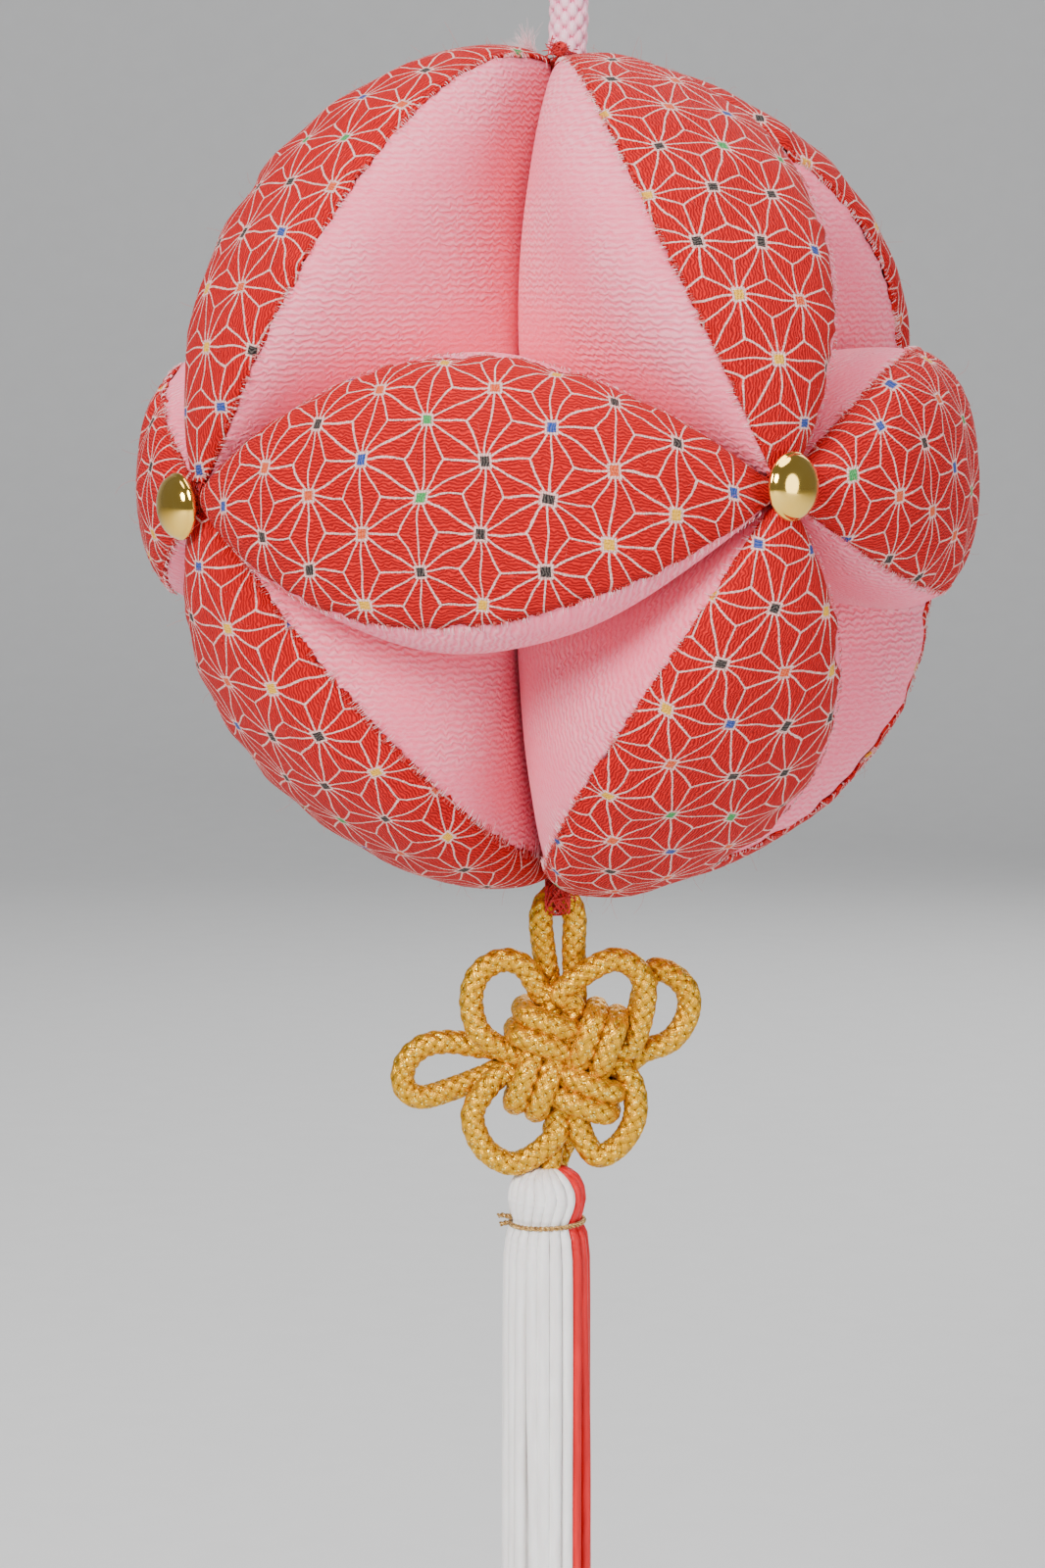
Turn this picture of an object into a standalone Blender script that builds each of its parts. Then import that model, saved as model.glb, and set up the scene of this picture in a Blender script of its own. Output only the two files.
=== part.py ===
"""Hanging temari ball: twelve stuffed cloth wedges, buttons, cords, a gold knot and a tassel.

The wedges lie on the twelve edges of an octahedron. Their tips meet at its six corners, and
their inner edges run close to the ball's centre. The origin is the point on which the hanging
loop rests, +Z is up, and the front faces -Y. All sizes are metres.
"""

import math

import bmesh
import bpy
import numpy as np
from mathutils import Matrix, Vector

# Driving dimensions
BALL_RADIUS = 0.065
BALL_CENTRE_Z = -0.117
PIECE_GAP = 0.0003

# Wedges. Radii are shares of the ball's radius, measured from its centre.
TIP_RADIUS = 0.955 * BALL_RADIUS
INNER_RADIUS = 0.12 * BALL_RADIUS
HALF_WIDTH = 0.39 * BALL_RADIUS
CROWN_SQUARENESS = 12
SIDE_FULLNESS = 0.2
TIP_CUT = math.radians(2.5)
TIP_DIP = 2.6
CREASE_SOFTNESS = 0.0015
CROWN_THICKNESS = 0.001
ROWS = 12
CROWN_SPANS = 4
SIDE_DEPTHS = (0.82, 0.55, 0.3, 0.1)

# The octahedron's corners: azimuth from the front towards the right, and elevation, in degrees
CORNERS = {
    "top": (0, 90),
    "bottom": (0, -90),
    "front_right": (31, 0),
    "back_right": (121, 1),
    "back_left": (-149, 0),
    "front_left": (-59.5, -2),
}
RING = ("front_right", "back_right", "back_left", "front_left")

# Each wedge's own unevenness, every value given at its first corner and at its second: the two
# seams' angles in its section (degrees), its width and height as shares of the standard wedge,
# and how far its crown leans sideways as a share of the ball's radius. The second seam and the
# leans are on its left, looking from its first corner to its second.
FIRST_SEAM, SECOND_SEAM, WIDTH, HEIGHT, LEAN = range(5)
WEDGE_FORM = {
    "front_left-front_right": ((-55, -33), (72, 76), (0.92, 0.93), (1.01, 1.01), (-0.02, -0.02)),
    "front_right-back_right": ((-50, -54), (68, 70), (0.84, 0.86), (0.99, 0.99), (-0.02, -0.02)),
    "back_right-back_left": ((-56, -50), (50, 54), (0.98, 0.98), (1.0, 1.01), (0.01, 0.0)),
    "back_left-front_left": ((-52, -50), (52, 56), (0.92, 0.86), (1.0, 1.0), (0.0, -0.02)),
    "top-front_right": ((-30, -40), (50, 50), (0.92, 0.92), (1.01, 1.01), (-0.03, -0.03)),
    "top-back_right": ((-62, -68), (50, 50), (0.92, 0.92), (0.99, 0.99), (0.0, 0.0)),
    "top-back_left": ((-50, -54), (56, 52), (0.96, 0.96), (1.01, 1.0), (0.0, 0.01)),
    "top-front_left": ((-54, -54), (38, 50), (0.9, 0.9), (1.05, 0.98), (0.0, 0.06)),
    "bottom-front_right": ((-50, -50), (62, 58), (0.94, 0.92), (1.03, 1.03), (0.02, 0.02)),
    "bottom-back_right": ((-54, -52), (50, 52), (1.0, 1.0), (1.05, 1.05), (0.0, 0.0)),
    "bottom-back_left": ((-50, -54), (56, 52), (0.98, 0.96), (1.02, 1.0), (0.0, 0.0)),
    "bottom-front_left": ((-72, -66), (52, 52), (0.98, 0.96), (1.02, 1.0), (-0.03, -0.03)),
}

# Dome buttons and their shanks
BUTTON_RADIUS = 0.005
BUTTON_HEIGHT = 0.0033
BUTTON_RIM = 0.0007
BUTTON_BACK_ROUND = 0.0003
SHANK_RADIUS = 0.0011
SHANK_CLEARANCE = 0.0007
BUTTON_SEAT = 0.0642
# Each button's shift (degrees to the right and up) and further lean of its face
BUTTON_TILT = {
    "front_right": ((-0.3, 0.8), (16, 0)),
    "front_left": ((-0.6, -1.0), (2, 0)),
    "back_left": ((0, 0.3), (4, 3)),
    "back_right": ((0.3, 0), (-5, 2)),
}

# Thread knobs in the pits between the wedge tips
KNOB_RADIUS = 0.0020
KNOB_SHOULDER = 0.0014
KNOB_ROUND = 0.0008
KNOB_BOTTOM = 0.052
KNOB_TOP = 0.0600

# Turns of thread round the foot of the hanging cord and through the knot's top loop
THREAD_RADIUS = 0.00045
FOOT_THREAD_HEIGHT = 0.0646
FOOT_THREAD_RADIUS = 0.0037
LOOP_THREAD_RADIUS = 0.0028
LOOP_THREAD_CENTRE = (-1.33, 0.2, 26.2)

# Hanging cord
CORD_RADIUS = 0.0029
CORD_X = 0.0012
CORD_FOOT = 0.0636
WHIPPING_LOW = 0.086
WHIPPING_HIGH = 0.094
WHIPPING_WALL = 0.0008
WHIPPING_SIDES = 24
# The cord stands straight up over its foot, bends in below the whipping, and flares out above it
CORD_STAND = 0.0095
CORD_BEND = 0.003
CORD_STUB = 0.001
CORD_END = 0.0015
LOOP_FLARE = (0.003, 0.006)
LOOP_HALF_WIDTH = 0.0105
LOOP_TOP = -BALL_CENTRE_Z + CORD_RADIUS

# Gold knot: its centre, the turn of its woven core, and the cord
KNOT_CENTRE = Vector((0.0012, 0, BALL_CENTRE_Z - 0.0919))
KNOT_TURN = math.radians(-20)
KNOT_CORD_RADIUS = 0.00185
KNOT_END_RADIUS = 0.0012
CORE_HALF_WIDTH = 0.0092
CORE_HALF_DEPTH = 0.0066

# The knot's ears in its own plane, millimetres across, towards the back, and up from its centre
EARS = {
    "upper_left": [(-1, 0, 4), (-3.8, -1.5, 10.6), (-6.4, -1.7, 14.8), (-9.8, -1.7, 16.0),
                   (-13.4, -1.7, 14.0), (-14.8, -1.9, 9.8), (-13.4, -2.4, 4.6), (-9, -2.6, -0.5),
                   (-3, 0, -2)],
    "upper_right": [(-2, 0, 4), (-1.6, -2.6, 9.4), (2.5, -2.6, 13.4), (7.6, -2.2, 16.2),
                    (11.4, -1.8, 14.0), (12.2, -1.8, 9.4), (9.2, -1.8, 5.6), (4, 0, 3)],
    "right": [(2.5, 0, 4), (8.0, 2.0, 8.0), (12.8, 2.2, 12.7), (15.8, 1.8, 13.6), (18.9, 1.5, 10.8),
              (19.0, 1.5, 6.7), (16.4, 1.5, 2.8), (12.0, 1.5, 1.0), (5.5, 0, 0)],
    "lower_right": [(1.5, 0, -1), (7.3, -1.6, -2.0), (10.6, -1.7, -4.4), (10.7, -1.7, -9.2),
                    (8.2, -1.7, -13.4), (4.4, -1.7, -15.4), (1.8, -2.2, -13.8), (1.2, -2.4, -10.0),
                    (0.5, 0, -4)],
    "lower_left": [(-1, 0, -5), (-1.2, -2.4, -10.4), (-5.0, -2.2, -14.7), (-8.8, -1.9, -16.2),
                   (-12.7, -1.7, -13.9), (-14.6, -1.5, -9.5), (-13.8, -1.2, -6.1), (-9.8, -0.8, -3.6),
                   (-3.5, 0, -2)],
    "left": [(-3.5, 0, 1), (-9, 1.2, 0.4), (-13.7, 1.4, 1.8), (-18.2, 1.4, 2.5), (-22.4, 1.4, 1.8),
             (-25.2, 1.3, -1.0), (-25.4, 1.3, -4.6), (-22.7, 1.3, -6.3), (-17.4, 1.4, -4.6),
             (-12.2, 1.5, -1.9), (-4.5, 0, -1)],
    "top": [(-2.4, 0, 4), (-2.8, 1.2, 12.0), (-3.6, 0.8, 18.0), (-3.95, 0.3, 22.4), (-3.0, 0.2, 25.1),
            (-1.35, 0.2, 26.1), (0.35, 0.3, 25.1), (1.3, 0.4, 22.4), (1.2, 0.8, 18.0), (1.4, 1.4, 12.0),
            (1.0, 0, 4)],
}

# Its two lower ends, likewise, above their meeting with the tassel: left end, then right end
LOWER_ENDS = {-1: [(-2.0, 0, -4), (-4.0, 1.2, -12.0)], 1: [(2.4, 0, -4), (0.4, 1.2, -12.0)]}
LOWER_END_BEND = (-0.2, 0.6, -15.6)

# Tassel, measured down from the ball's centre
TASSEL_X = -0.00175
TASSEL_TOP = 0.1092
TASSEL_LENGTH = 0.110
HEAD_RADIUS = 0.0061
HEAD_ROUND = 0.0048
NECK_DROP = 0.0083
NECK_BAND = 0.0012
NECK_RADIUS = 0.0051
SKIRT_RADIUS = 0.0071
# The skirt by drop below the neck (then by share of the rest) and radius share
SKIRT_SHOULDER = ((0.003, 0.94), (0.007, 1.0))
SKIRT_SPREAD = 0.06
TASSEL_SPLIT = math.radians(42)
TIE_RADIUS = 0.00045
TIE_TAIL = (-0.0030, 0.0012, 0.0002)
TIE_TIP = (0, 0.0003, 0.0002)

# Colours (linear) and surface values: red, green, blue, roughness, metallic
FINISHES = {
    "pink_crepe": (1.0, 0.53, 0.60, 0.85, 0.0),
    "red_weave": (0.68, 0.03, 0.03, 0.85, 0.0),
    "gold_button": (0.90, 0.65, 0.18, 0.12, 1.0),
    "red_thread": (0.60, 0.01, 0.01, 0.7, 0.0),
    "pink_cord": (0.95, 0.62, 0.70, 0.6, 0.0),
    "gold_cord": (0.75, 0.48, 0.12, 0.35, 0.8),
    "white_strands": (0.85, 0.83, 0.80, 0.6, 0.0),
    "red_strands": (0.75, 0.02, 0.02, 0.6, 0.0),
    "gold_wire": (0.70, 0.45, 0.12, 0.35, 0.9),
}


def clear_scene():
    for thing in list(bpy.data.objects):
        bpy.data.objects.remove(thing, do_unlink=True)


def finish(name):
    """The named material, made on first use."""
    material = bpy.data.materials.get(name)
    if material is None:
        red, green, blue, roughness, metallic = FINISHES[name]
        material = bpy.data.materials.new(name)
        material.use_nodes = True
        shader = material.node_tree.nodes["Principled BSDF"]
        shader.inputs["Base Color"].default_value = (red, green, blue, 1)
        shader.inputs["Roughness"].default_value = roughness
        shader.inputs["Metallic"].default_value = metallic
    return material


def add_object(name, points, faces, material, smooth=True):
    """A mesh object whose faces are turned outwards."""
    mesh = bpy.data.meshes.new(name)
    mesh.from_pydata([tuple(p) for p in points], [], [tuple(int(i) for i in f) for f in faces])
    shell = bmesh.new()
    shell.from_mesh(mesh)
    bmesh.ops.recalc_face_normals(shell, faces=shell.faces)
    shell.to_mesh(mesh)
    shell.free()
    if smooth:
        mesh.shade_smooth()
        mesh.set_sharp_from_angle(angle=math.radians(40))
    piece = bpy.data.objects.new(name, mesh)
    piece.data.materials.append(finish(material))
    bpy.context.scene.collection.objects.link(piece)
    return piece


def direction(azimuth, elevation):
    """Unit vector at an azimuth from the front towards the right, and an elevation, in degrees."""
    turn, rise = math.radians(azimuth), math.radians(elevation)
    return np.array([math.sin(turn) * math.cos(rise), -math.cos(turn) * math.cos(rise), math.sin(rise)])


def wedge_list():
    """Names of the wedges: round the middle, then those at the top and at the bottom."""
    middle = ["front_right-back_right", "back_right-back_left", "back_left-front_left", "front_left-front_right"]
    return middle + [f"{end}-{side}" for end in ("top", "bottom") for side in RING]


class Wedge:
    """One wedge in half-planes that fan about the axis square to its two corners.

    theta turns from one corner to the other. In each half-plane a point has a distance r from the
    ball's centre line and a height h to the side.
    """

    def __init__(self, name):
        start, end = (direction(*CORNERS[corner]) for corner in name.split("-"))
        self.form = WEDGE_FORM[name]
        self.axis = np.cross(start, end)
        self.axis /= np.linalg.norm(self.axis)
        self.start = start
        self.along = np.cross(self.axis, start)
        self.span = math.acos(float(start @ end))
        sides = [direction(*CORNERS[c]) for c in CORNERS if c not in name.split("-")]
        heights = [float(side @ self.axis) for side in sides]
        self.neighbours = {
            side: np.linalg.inv(np.column_stack([start, end, sides[pick(heights)]]))
            for side, pick in ((1, lambda h: h.index(max(h))), (-1, lambda h: h.index(min(h))))
        }

    def place(self, theta, r, h):
        """Points in space, with each h kept on its own side of the planes shared with neighbours."""
        outward = np.cos(theta)[..., None] * self.start + np.sin(theta)[..., None] * self.along
        for side, shares in self.neighbours.items():
            first, second, third = np.moveaxis(outward @ shares.T, -1, 0)
            axis_first, axis_second, axis_third = shares @ (side * self.axis)
            room = np.minimum(
                (r * first - PIECE_GAP / math.sqrt(2)) / (axis_third - axis_first),
                (r * second - PIECE_GAP / math.sqrt(2)) / (axis_third - axis_second),
            )
            overlap = np.maximum(0, 1 - np.abs(h * side - room) / CREASE_SOFTNESS)
            kept = np.minimum(h * side, room) - CREASE_SOFTNESS * overlap**2 / 4
            h = np.where(h * side > 0, side * np.maximum(kept, 0), h)
        centre = np.array([0, 0, BALL_CENTRE_Z])
        return centre + r[..., None] * outward + h[..., None] * self.axis

    def rows(self):
        return np.linspace(TIP_CUT, self.span - TIP_CUT, ROWS + 1)[:, None]

    def form_at(self, column, theta):
        """One of the wedge's own values, changing evenly from its first corner to its second."""
        return np.interp(theta, (0, self.span), self.form[column])

    def reach(self, theta):
        """Inner radius, crown radius and half-width at theta: all narrow towards the two tips."""
        swell = np.sin(math.pi * theta / self.span)
        inner = TIP_RADIUS - (TIP_RADIUS - INNER_RADIUS) * np.sqrt(swell)
        top = BALL_RADIUS * self.form_at(HEIGHT, theta)
        crown = top - (top - TIP_RADIUS) * (1 - swell) ** TIP_DIP
        return inner, crown, HALF_WIDTH * self.form_at(WIDTH, theta) * swell**0.85

    def outline(self, theta, angle, depth):
        """Section r, h: depth is how far it lies under the cloth's outer face.

        c runs from 0 at the inner edge to 1 at the crown. The half-width is the wedge's width
        times the square root of 1 - c to the power CROWN_SQUARENESS, times c to SIDE_FULLNESS.
        """
        inner, crown, width = self.reach(theta)
        c = np.abs(np.cos(angle)) ** (2 / CROWN_SQUARENESS)
        r = inner + (crown - depth - inner) * c
        lean = self.form_at(LEAN, theta) * BALL_RADIUS * np.sin(math.pi * theta / self.span) * c**2
        return r, (width - depth) * np.sin(angle) * c**SIDE_FULLNESS + lean

    def crown_points(self, depth):
        """Grid of the crown from seam to seam, at a depth under the outer face."""
        theta = self.rows()
        low, high = (np.radians(self.form_at(seam, theta)) for seam in (FIRST_SEAM, SECOND_SEAM))
        angle = low + (high - low) * np.linspace(0, 1, CROWN_SPANS + 1)
        theta, angle = np.broadcast_arrays(theta, angle)
        return self.place(theta, *self.outline(theta, angle, depth))

    def side_points(self, side):
        """Grid of one side panel, from just under the seam to near the inner edge."""
        theta = self.rows()
        seam = np.cos(np.radians(self.form_at(SECOND_SEAM if side > 0 else FIRST_SEAM, theta)))
        c = seam ** (2 / CROWN_SQUARENESS) * np.array(SIDE_DEPTHS)
        theta, c = np.broadcast_arrays(theta, c)
        angle = side * np.arccos(c ** (CROWN_SQUARENESS / 2))
        return self.place(theta, *self.outline(theta, angle, 0))

    def spine_points(self):
        theta = self.rows()
        inner, _, _ = self.reach(theta)
        return self.place(theta, inner, np.zeros_like(inner))


def tube_faces(rows, around):
    """Triangles of a closed tube of rows x around points, with a fan of triangles at each end."""
    faces = []
    for i in range(rows - 1):
        for j in range(around):
            a, b = i * around + j, i * around + (j + 1) % around
            c, d = a + around, b + around
            faces += [(a, b, d), (a, d, c)]
    for first in (0, (rows - 1) * around):
        faces += [(first, first + j, first + j + 1) for j in range(1, around - 1)]
    return faces


def add_wedge(name):
    """The stuffed pink body and the red crown panel that lies over it."""
    wedge = Wedge(name)
    body = np.concatenate(
        [
            wedge.crown_points(CROWN_THICKNESS + PIECE_GAP),
            wedge.side_points(1),
            wedge.spine_points(),
            wedge.side_points(-1)[:, ::-1],
        ],
        axis=1,
    )
    rows, around, _ = body.shape
    add_object(f"segment_{name}", body.reshape(-1, 3), tube_faces(rows, around), "pink_crepe")
    crown = np.concatenate([wedge.crown_points(CROWN_THICKNESS), wedge.crown_points(0)[:, ::-1]], axis=1)
    rows, around, _ = crown.shape
    add_object(f"crown_{name}", crown.reshape(-1, 3), sheet_faces(rows, around), "red_weave")


def sheet_faces(rows, around):
    """Triangles of a thin closed sheet: as tube_faces, with the end strips split across the sheet."""
    last = around - 1
    walls = tube_faces(rows, around)[: 2 * (rows - 1) * around]
    for first in (0, (rows - 1) * around):
        for j in range(around // 2 - 1):
            a, b, c, d = first + j, first + j + 1, first + last - j - 1, first + last - j
            walls += [(a, b, c), (a, c, d)]
    return walls


def turned(name, profile, material, sides, frame):
    """A closed turned solid: profile of (radius, height) from bottom to top, axis along +Z of frame."""
    shell = bmesh.new()
    ring = [shell.verts.new((radius, 0, height)) for radius, height in profile]
    edges = [shell.edges.new(pair) for pair in zip(ring, ring[1:])]
    bmesh.ops.spin(
        shell, geom=ring + edges, cent=(0, 0, 0), axis=(0, 0, 1), angle=2 * math.pi, steps=sides, use_merge=True
    )
    bmesh.ops.remove_doubles(shell, verts=shell.verts, dist=1e-6)
    bmesh.ops.recalc_face_normals(shell, faces=shell.faces)
    mesh = bpy.data.meshes.new(name)
    shell.to_mesh(mesh)
    shell.free()
    mesh.shade_smooth()
    mesh.set_sharp_from_angle(angle=math.radians(40))
    piece = bpy.data.objects.new(name, mesh)
    piece.data.materials.append(finish(material))
    piece.matrix_world = frame
    bpy.context.scene.collection.objects.link(piece)
    return piece


def corner_frame(corner, out=0.0, shift=(0, 0), lean=(0, 0)):
    """Frame with +Z out of the ball near a corner: shift and lean are degrees right and up."""
    azimuth, elevation = CORNERS[corner]
    azimuth, elevation = azimuth + shift[0], elevation + shift[1]
    spot = Vector(direction(azimuth, elevation)) * out + Vector((0, 0, BALL_CENTRE_Z))
    facing = Vector(direction(azimuth + lean[0], elevation + lean[1]))
    return Matrix.Translation(spot) @ facing.to_track_quat("Z", "Y").to_matrix().to_4x4()


def add_button(corner):
    """A low dome with a flat back, on a round shank."""
    dome = [(BUTTON_RADIUS * math.cos(a), BUTTON_RIM + (BUTTON_HEIGHT - BUTTON_RIM) * math.sin(a))
            for a in np.linspace(0, math.pi / 2, 7)]
    shank_foot = KNOB_TOP + SHANK_CLEARANCE - BUTTON_SEAT
    profile = [(0, shank_foot), (SHANK_RADIUS, shank_foot), (SHANK_RADIUS, 0)]
    profile += [(BUTTON_RADIUS - BUTTON_BACK_ROUND, 0)] + dome[:-1] + [(0, BUTTON_HEIGHT)]
    frame = corner_frame(corner, BUTTON_SEAT, *BUTTON_TILT[corner])
    turned(f"button_{corner}", profile, "gold_button", 24, frame)


def add_lashing(corner):
    """The thread knob that fills the pit between four wedge tips."""
    profile = [(0, KNOB_BOTTOM), (KNOB_RADIUS, KNOB_BOTTOM), (KNOB_RADIUS, KNOB_TOP - KNOB_ROUND)]
    profile += [(KNOB_SHOULDER, KNOB_TOP), (0, KNOB_TOP)]
    turned(f"lashing_{corner}", profile, "red_thread", 12, corner_frame(corner))


def add_thread_ring(name, frame, radius):
    """A round ring of thread turns about the frame's Z axis."""
    profile = [(radius + THREAD_RADIUS * math.cos(a), THREAD_RADIUS * math.sin(a))
               for a in np.linspace(0, 2 * math.pi, 7)]
    turned(name, profile, "red_thread", 16, frame)


def smooth_route(points, spans):
    """Catmull-Rom curve through the points, with so many spans between each pair."""
    points = np.array(points, dtype=float)
    padded = np.vstack([2 * points[0] - points[1], points, 2 * points[-1] - points[-2]])
    steps = np.linspace(0, 1, spans, endpoint=False)[:, None]
    route = []
    for p0, p1, p2, p3 in zip(padded, padded[1:], padded[2:], padded[3:]):
        linear, square = p2 - p0, 2 * p0 - 5 * p1 + 4 * p2 - p3
        cube = 3 * p1 - p0 - 3 * p2 + p3
        route.append(p1 + 0.5 * (linear * steps + square * steps**2 + cube * steps**3))
    return np.vstack(route + [points[-1:]])


def add_cord(name, route, radius, material, resolution, radii=None):
    """A round cord: a bevelled curve with filled ends along the route."""
    curve = bpy.data.curves.new(name, "CURVE")
    curve.dimensions = "3D"
    curve.bevel_depth = radius
    curve.bevel_resolution = resolution
    curve.use_fill_caps = True
    spline = curve.splines.new("POLY")
    spline.points.add(len(route) - 1)
    for i, point in enumerate(route):
        spline.points[i].co = (*point, 1)
        spline.points[i].radius = 1 if radii is None else radii[i]
    piece = bpy.data.objects.new(name, curve)
    curve.materials.append(finish(material))
    bpy.context.scene.collection.objects.link(piece)
    return piece


def hang_route():
    """Up from the ball, round the hanging loop, and back down beside the standing part."""
    beside = CORD_RADIUS + PIECE_GAP / 2
    low, high = BALL_CENTRE_Z + WHIPPING_LOW, BALL_CENTRE_Z + WHIPPING_HIGH
    top = BALL_CENTRE_Z + LOOP_TOP - CORD_RADIUS
    widest = top - LOOP_HALF_WIDTH
    foot = BALL_CENTRE_Z + CORD_FOOT
    shoulder = LOOP_HALF_WIDTH * math.sqrt(0.5)
    flare = (beside + LOOP_FLARE[0], 0, high + LOOP_FLARE[1])
    return [
        (CORD_X, 0, foot),
        (CORD_X, 0, foot + CORD_STAND),
        (-beside * 0.8, 0, low - CORD_BEND),
        (-beside, 0, low),
        (-beside, 0, high + CORD_STUB),
        (-flare[0], 0, flare[2]),
        (-LOOP_HALF_WIDTH, 0, widest - CORD_STUB),
        (-shoulder, 0, widest + shoulder),
        (0, 0, top),
        (shoulder, 0, widest + shoulder),
        (LOOP_HALF_WIDTH, 0, widest - CORD_STUB),
        flare,
        (beside, 0, high + CORD_STUB),
        (beside, 0, low),
        (beside, 0, low - CORD_END),
    ]


def add_whipping():
    """Oval sleeve of thread turns round the two cords side by side."""
    inner = CORD_RADIUS + PIECE_GAP
    offset = CORD_RADIUS + PIECE_GAP / 2
    low, high = BALL_CENTRE_Z + WHIPPING_LOW, BALL_CENTRE_Z + WHIPPING_HIGH
    sides = WHIPPING_SIDES

    def oval(radius, height):
        turns = [2 * math.pi * (i + 0.5) / sides for i in range(sides)]
        return [(math.copysign(offset, math.cos(t)) + radius * math.cos(t), radius * math.sin(t), height)
                for t in turns]

    inner /= math.cos(math.pi / sides)
    outer = inner + WHIPPING_WALL
    points = oval(inner, low) + oval(outer, low) + oval(outer, high) + oval(inner, high)
    faces = []
    for layer in range(4):
        for i in range(sides):
            a, b = layer * sides + i, layer * sides + (i + 1) % sides
            c, d = (a + sides) % (4 * sides), (b + sides) % (4 * sides)
            faces.append((a, b, d, c))
    add_object("hang_whipping", points, faces, "red_thread")


def knot_point(x, y, z):
    """A point of the knot given in millimetres from its centre."""
    return KNOT_CENTRE + Vector((x, y, z)) / 1000


def knot_core():
    """The woven core as a rounded square pad: a sphere whose three radii follow a fourth power."""
    shell = bmesh.new()
    bmesh.ops.create_uvsphere(shell, u_segments=20, v_segments=12, radius=1)
    turn = Matrix.Rotation(-KNOT_TURN, 3, "Y")
    for vert in shell.verts:
        x, y, z = vert.co
        size = (x**4 + abs(y) ** 3 + z**4) ** 0.25
        vert.co = turn @ Vector((x * CORE_HALF_WIDTH, y * CORE_HALF_DEPTH, z * CORE_HALF_WIDTH)) / size
        vert.co += KNOT_CENTRE
    mesh = bpy.data.meshes.new("gold_knot")
    shell.to_mesh(mesh)
    shell.free()
    core = bpy.data.objects.new("gold_knot", mesh)
    mesh.materials.append(finish("gold_cord"))
    bpy.context.scene.collection.objects.link(core)
    return core


def welded_copy(cord):
    """The cord as a mesh whose end caps are joined to its wall."""
    mesh = bpy.data.meshes.new_from_object(cord)
    shell = bmesh.new()
    shell.from_mesh(mesh)
    bmesh.ops.remove_doubles(shell, verts=shell.verts, dist=1e-6)
    bmesh.ops.recalc_face_normals(shell, faces=shell.faces)
    shell.to_mesh(mesh)
    shell.free()
    return mesh


def add_knot():
    """The core with its ears, its top loop and its two lower ends united into one solid."""
    core = knot_core()
    ends = {}
    head = KNOT_CENTRE.z - (BALL_CENTRE_Z - TASSEL_TOP) - PIECE_GAP
    bend, back, level = LOWER_END_BEND
    for side, start in LOWER_ENDS.items():
        foot = (TASSEL_X - KNOT_CENTRE.x + side * KNOT_END_RADIUS) * 1000
        ends[side] = start + [(foot + bend, back, level), (foot, 0, -head * 1000)]
    routes = [(points, 2, None) for points in EARS.values()]
    routes += [(points, 2, KNOT_END_RADIUS / KNOT_CORD_RADIUS) for points in ends.values()]
    for number, (points, spans, narrowing) in enumerate(routes):
        route = smooth_route([knot_point(*p) for p in points], spans)
        radii = None
        if narrowing:
            radii = np.interp(np.arange(len(route)), [0, 2, len(route) - 2], [1, 1, narrowing])
        cord = add_cord(f"knot_cord_{number}", route, KNOT_CORD_RADIUS, "gold_cord", 2, radii)
        strand = bpy.data.objects.new(f"knot_strand_{number}", welded_copy(cord))
        bpy.data.objects.remove(cord, do_unlink=True)
        strand.hide_render = True
        strand.display_type = "WIRE"
        bpy.context.scene.collection.objects.link(strand)
        union = core.modifiers.new(strand.name, "BOOLEAN")
        union.operation = "UNION"
        union.object = strand
        union.use_self = True


def tassel_profile():
    """(radius, depth below the tassel's top): flat crown, round head, neck, and a long skirt."""
    head = [(HEAD_RADIUS * math.sin(a), HEAD_ROUND * (1 - math.cos(a))) for a in np.radians([28, 50, 72, 95])]
    neck = [(NECK_RADIUS, NECK_DROP - NECK_BAND / 2), (NECK_RADIUS, NECK_DROP + NECK_BAND / 2)]
    skirt = [(SKIRT_RADIUS * share, NECK_DROP + below) for below, share in SKIRT_SHOULDER]
    full = NECK_DROP + SKIRT_SHOULDER[-1][0]
    skirt += [(SKIRT_RADIUS * (1 + SKIRT_SPREAD * t), full + (TASSEL_LENGTH - full) * t)
              for t in (0.25, 0.5, 0.75, 1)]
    return head + neck + skirt


def add_tassel_half(name, turn, material):
    """Half of the tassel: a half-round column whose flat face looks along its other half."""
    arcs = 12
    points = []
    for radius, drop in tassel_profile():
        for a in np.linspace(0, math.pi, arcs + 1):
            across = radius * math.cos(a)
            out = max(radius * math.sin(a), 0) + PIECE_GAP / 2
            points.append((TASSEL_X + across * math.cos(turn) + out * math.sin(turn),
                           across * math.sin(turn) - out * math.cos(turn),
                           BALL_CENTRE_Z - TASSEL_TOP - drop))
    rows = len(points) // (arcs + 1)
    add_object(name, points, tube_faces(rows, arcs + 1), material)


def add_tassel_tie():
    """Thin cord wound once and a bit round the neck, with both ends sticking out to the left."""
    radius = NECK_RADIUS + PIECE_GAP + TIE_RADIUS
    height = BALL_CENTRE_Z - TASSEL_TOP - NECK_DROP
    turns = np.radians(np.linspace(0, 360, 25))
    drop = 1.2 * TIE_RADIUS
    ring = [(TASSEL_X - radius * math.cos(a), radius * math.sin(a), height + drop - 2 * drop * a / (2 * math.pi))
            for a in turns]
    tail = np.array(TIE_TAIL)
    start, end = np.array(ring[0]), np.array(ring[-1])
    route = [start + tail + TIE_TIP, start + tail / 2] + ring[1:-1] + [end + tail * (0.5, -0.2, 0.5)]
    route += [end + tail * (1, -0.4, 1)]
    add_cord("tassel_tie", route, TIE_RADIUS, "gold_wire", 1)


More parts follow.
